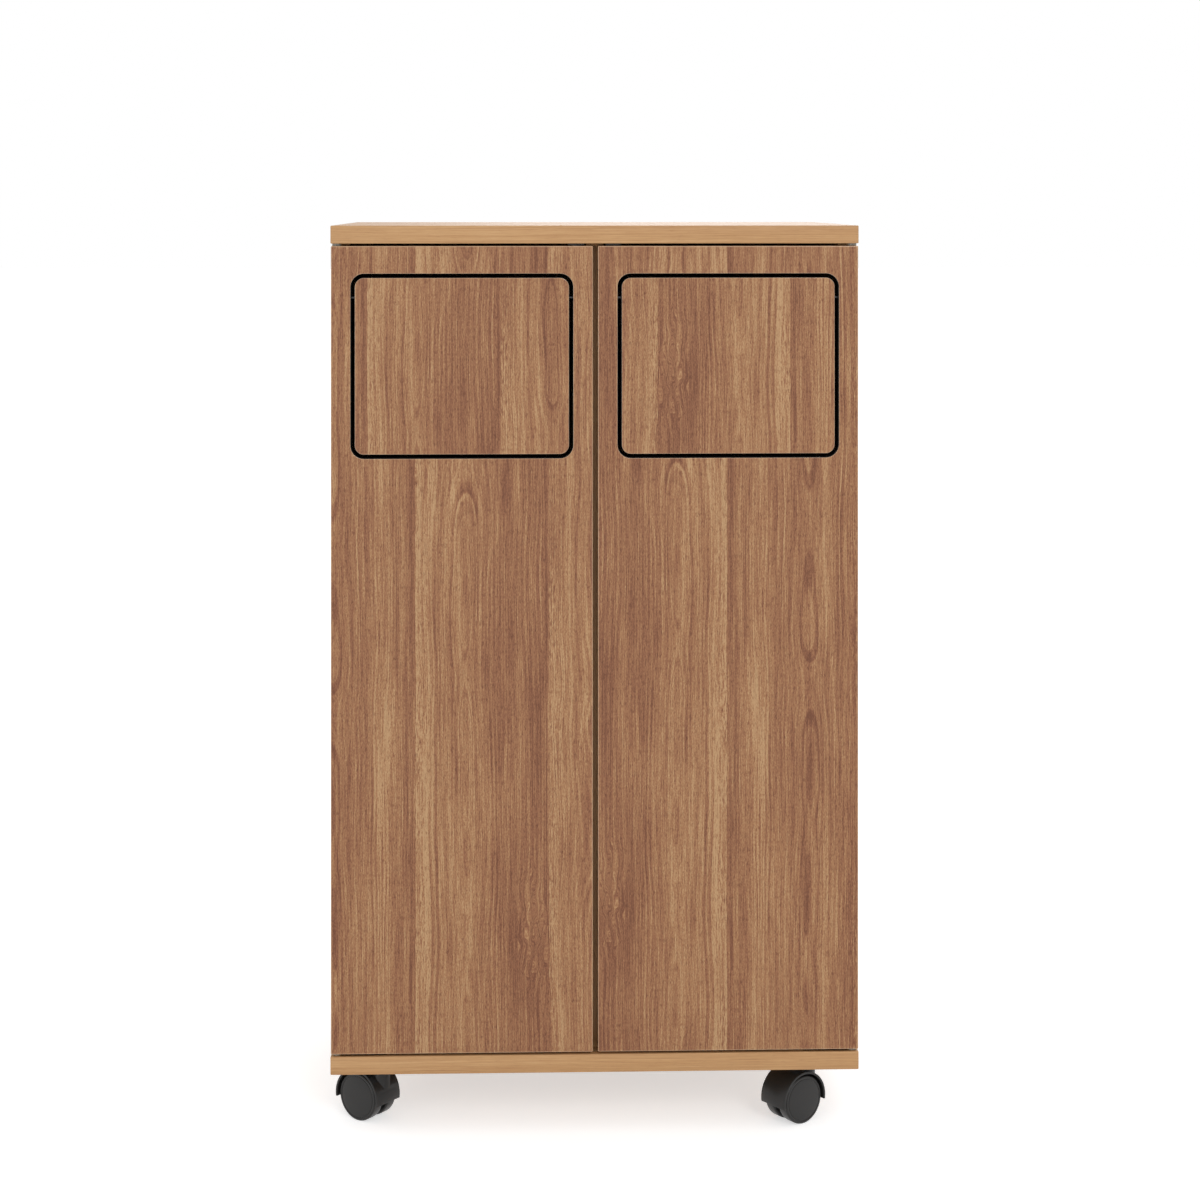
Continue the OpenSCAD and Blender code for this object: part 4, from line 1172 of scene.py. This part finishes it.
# The left panel's cams open to its inner face, at its high end along X, and the others to their low end
LEFT_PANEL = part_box("left_side_panel")[1].x
cam_places = []
for low, high in cams:
    middle = (low + high)/2
    from_left = low.x < LEFT_PANEL
    point = Vector((high.x if from_left else low.x, middle.y, middle.z))
    lean = Vector((0, 0, 1 if middle.z > MIDDLE_HEIGHT else -1))
    cam_places.append((point, Vector((-1 if from_left else 1, 0, 0)), lean))
cam_sizes = {"Width": 2*CAM_RADIUS, "Depth": 12.5*MM, "Bolt": 6.1*MM, "Bolt depth": 9*MM}
mesh = grow("cam_locks", carrier("cam_locks", cam_places), cam_tree(), cam_sizes, zinc)
add_piece("cam_locks_cast", mesh, "cabinet", zinc, "zinc_steel", "cam_locks")
print("Cam locks:", len(cam_places), "with", len(mesh.polygons), "faces")

# %% [markdown]
# ## Wheels
#
# A twin wheel is turned on a lathe in all but name: one profile, swept round the axle. From the
# outside in, it has a slightly domed disc, a fine ring, a rim and a rounded tread, and behind
# them a hollow round a hub. The joints of the model give the middle and the axis of each. A Screw
# modifier could sweep the profile, but rings made in code close at the poles by themselves.

# %% A lathe
def lathe(name, centre, axis, profile, steps=72):
    """A mesh of revolution. The profile is pairs of (radius, distance along the axis)."""
    axis = axis.normalized()
    up_way = Vector((0, 0, 1))
    side_way = axis.cross(up_way)
    bm = bmesh.new()
    rings = []
    for radius, far in profile:
        middle = centre + axis*far
        if radius == 0:
            rings.append([bm.verts.new(middle)])
            continue
        turns = [2*math.pi*i/steps for i in range(steps)]
        spokes = [up_way*math.cos(t) + side_way*math.sin(t) for t in turns]
        rings.append([bm.verts.new(middle + spoke*radius) for spoke in spokes])
    join_loops(bm, rings)
    bmesh.ops.recalc_face_normals(bm, faces=bm.faces)
    mesh = plain_mesh(bm, name)
    mesh.set_sharp_from_angle(angle=SHARP)
    return mesh


print("A lathe can turn a profile round any axis")

# %% Turn the wheels
# Radius and distance from the middle of the caster, in mm
WHEEL_PROFILE = [(0, 16.9), (5, 16.87), (10, 16.75), (14, 16.55), (17.5, 16.28), (19.6, 16.08),
    (20.3, 15.95), (20.45, 15.65), (21.15, 15.65), (21.3, 15.95), (21.7, 16.1), (22.5, 16.05),
    (23.25, 15.75), (23.8, 15.2), (24, 14.5), (24, 5.5), (23.8, 4.7), (23.25, 4.15), (22.5, 3.9),
    (20.3, 3.9), (20, 4.2), (19.7, 7.9), (7.3, 7.9), (7.0, 4.2), (6.7, 3.9), (3.3, 3.9), (3.05, 4.15),
    (3.05, 13.9), (0, 13.9)]
wheel_profile = [(radius*MM, far*MM) for radius, far in WHEEL_PROFILE]
for joint in frame["joints"]:
    if "_roll_" in joint["name"]:
        body = joint["child"]
        way = -1 if body.endswith("_a") else 1
        mesh = lathe(body, Vector(joint["pos_m"]), Vector(joint["axis"])*way, wheel_profile)
        add_piece(body + "_turned", mesh, body, charcoal, "charcoal_plastic", body)
print("A wheel has", len(mesh.polygons), "faces")

# %% [markdown]
# ## Hoods, axles and dowels
#
# A hood is moulded in one piece with the web and the hub that carry the axle. Its shape is in the
# model already, so a copy with softer edges is enough. The axles are plated, and the dowels that
# hold the uprights are turned beech: both are plain rods, which need nothing but their finish.

# %% Hoods, axles and dowels
for joint in frame["joints"]:
    if joint["name"].endswith("_swivel"):
        corner = joint["name"].removesuffix("_swivel")
        soften(corner + "_hood", corner + "_caster", charcoal, "charcoal_plastic", 0.45*MM)
        keep(corner + "_axle", zinc)
        print(corner, "caster has its hood and axle")
keep("dowels", beech)

# %% [markdown]
# ## Pails
#
# A pail is a thin tub, blown or moulded in one piece: a foot with a soft edge, walls that open out
# upwards, a stacking step below the rim and a rim that is rolled over to stiffen the mouth. It is
# lofted from rounded rectangles, from the middle of the base up the outside, over the rim and
# down the inside again, so that the wall has a real thickness everywhere. A single shell with a
# Solidify modifier would do for the wall, but not for the rolled rim.

# %% The profile of a pail
# The pail's own sizes, in mm
PAIL_HEIGHT = 520.0
TAPER = 18.0
WALL = 2.0
BASE_ROUND = 7.0


def wall(height):
    """How far the wall stands outside its own outline at the rim, at a height above the base."""
    return -TAPER*(1 - height/PAIL_HEIGHT)


def tub_profile():
    """Pairs of (distance outside the wall's outline at the rim, height above the base), in mm."""
    # The foot's edge, the wall and its stacking step, at 430 to 438 mm
    outer = [(wall(0) - BASE_ROUND*(1 - math.sin(t)), BASE_ROUND*(1 - math.cos(t)))
        for t in (math.radians(a) for a in (0, 22, 45, 68, 90))]
    outer += [(wall(z), z) for z in (80, 200, 320, 430)]
    outer += [(wall(436) + 1.0, 438), (wall(500) + 0.4, 500), (-0.2, 515)]
    # Out under the rolled rim and down into its lip, and then up and over it to the inside
    under = [(0.5, 517), (1.5, 517.8), (3.6, 517.8), (4.7, 517), (5.0, 515.8), (5.0, 508.6), (5.4, 508)]
    over = [(6.5, 508), (7.0, 508.6), (7.0, 515.5), (6.5, 517.7), (5.4, 519.2), (3.6, 520), (0.6, 520),
        (-1.0, 519.4), (-1.9, 518.0), (-2.1, 516)]
    # The same wall from within, and the edge of the floor
    inner = [(wall(500) + 0.4 - WALL, 499), (wall(436) + 1.0 - WALL, 437), (wall(430) - WALL, 429)]
    inner += [(wall(z) - WALL, z) for z in (320, 200, 80)]
    inner += [(wall(0) - WALL - 5*(1 - math.cos(t)), WALL + 5*(1 - math.sin(t)))
        for t in (math.radians(a) for a in (0, 30, 60, 90))]
    return outer + under + over + inner


print("A pail's profile has", len(tub_profile()), "points, and its foot lies", -wall(0), "mm inside its rim")

# %% Loft the pails
PAIL_FEET = 79*MM
# In mm: how far the rim stands out from the wall, and the radius of the wall's corners at the rim
RIM_REACH = 7.0
PAIL_CORNER = 29.0

for side in ("left", "right"):
    low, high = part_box(side + "_pail")
    middle = (low + high)/2
    half = (high - low)/2/MM - Vector((RIM_REACH, RIM_REACH, 0))
    tub = rounded_outline(-half, half, PAIL_CORNER, 8)
    bm = bmesh.new()
    loops = []
    for out, tall in tub_profile():
        points = [(middle.x + x*MM, middle.y + y*MM, PAIL_FEET + tall*MM) for x, y in tub(-out)]
        loops.append([bm.verts.new(point) for point in points])
    join_loops(bm, loops)
    for end in (loops[0], loops[-1]):
        bm.faces.new(end).smooth = True
    bmesh.ops.recalc_face_normals(bm, faces=bm.faces)
    mesh = plain_mesh(bm, side + "_pail")
    mesh.set_sharp_from_angle(angle=SHARP)
    add_piece(side + "_pail_moulded", mesh, "cabinet", pail_grey, "grey_plastic", side + "_pail")
    print(side, "pail:", len(mesh.polygons), "faces, high", round((high.z - low.z)/MM), "mm")

# %% [markdown]
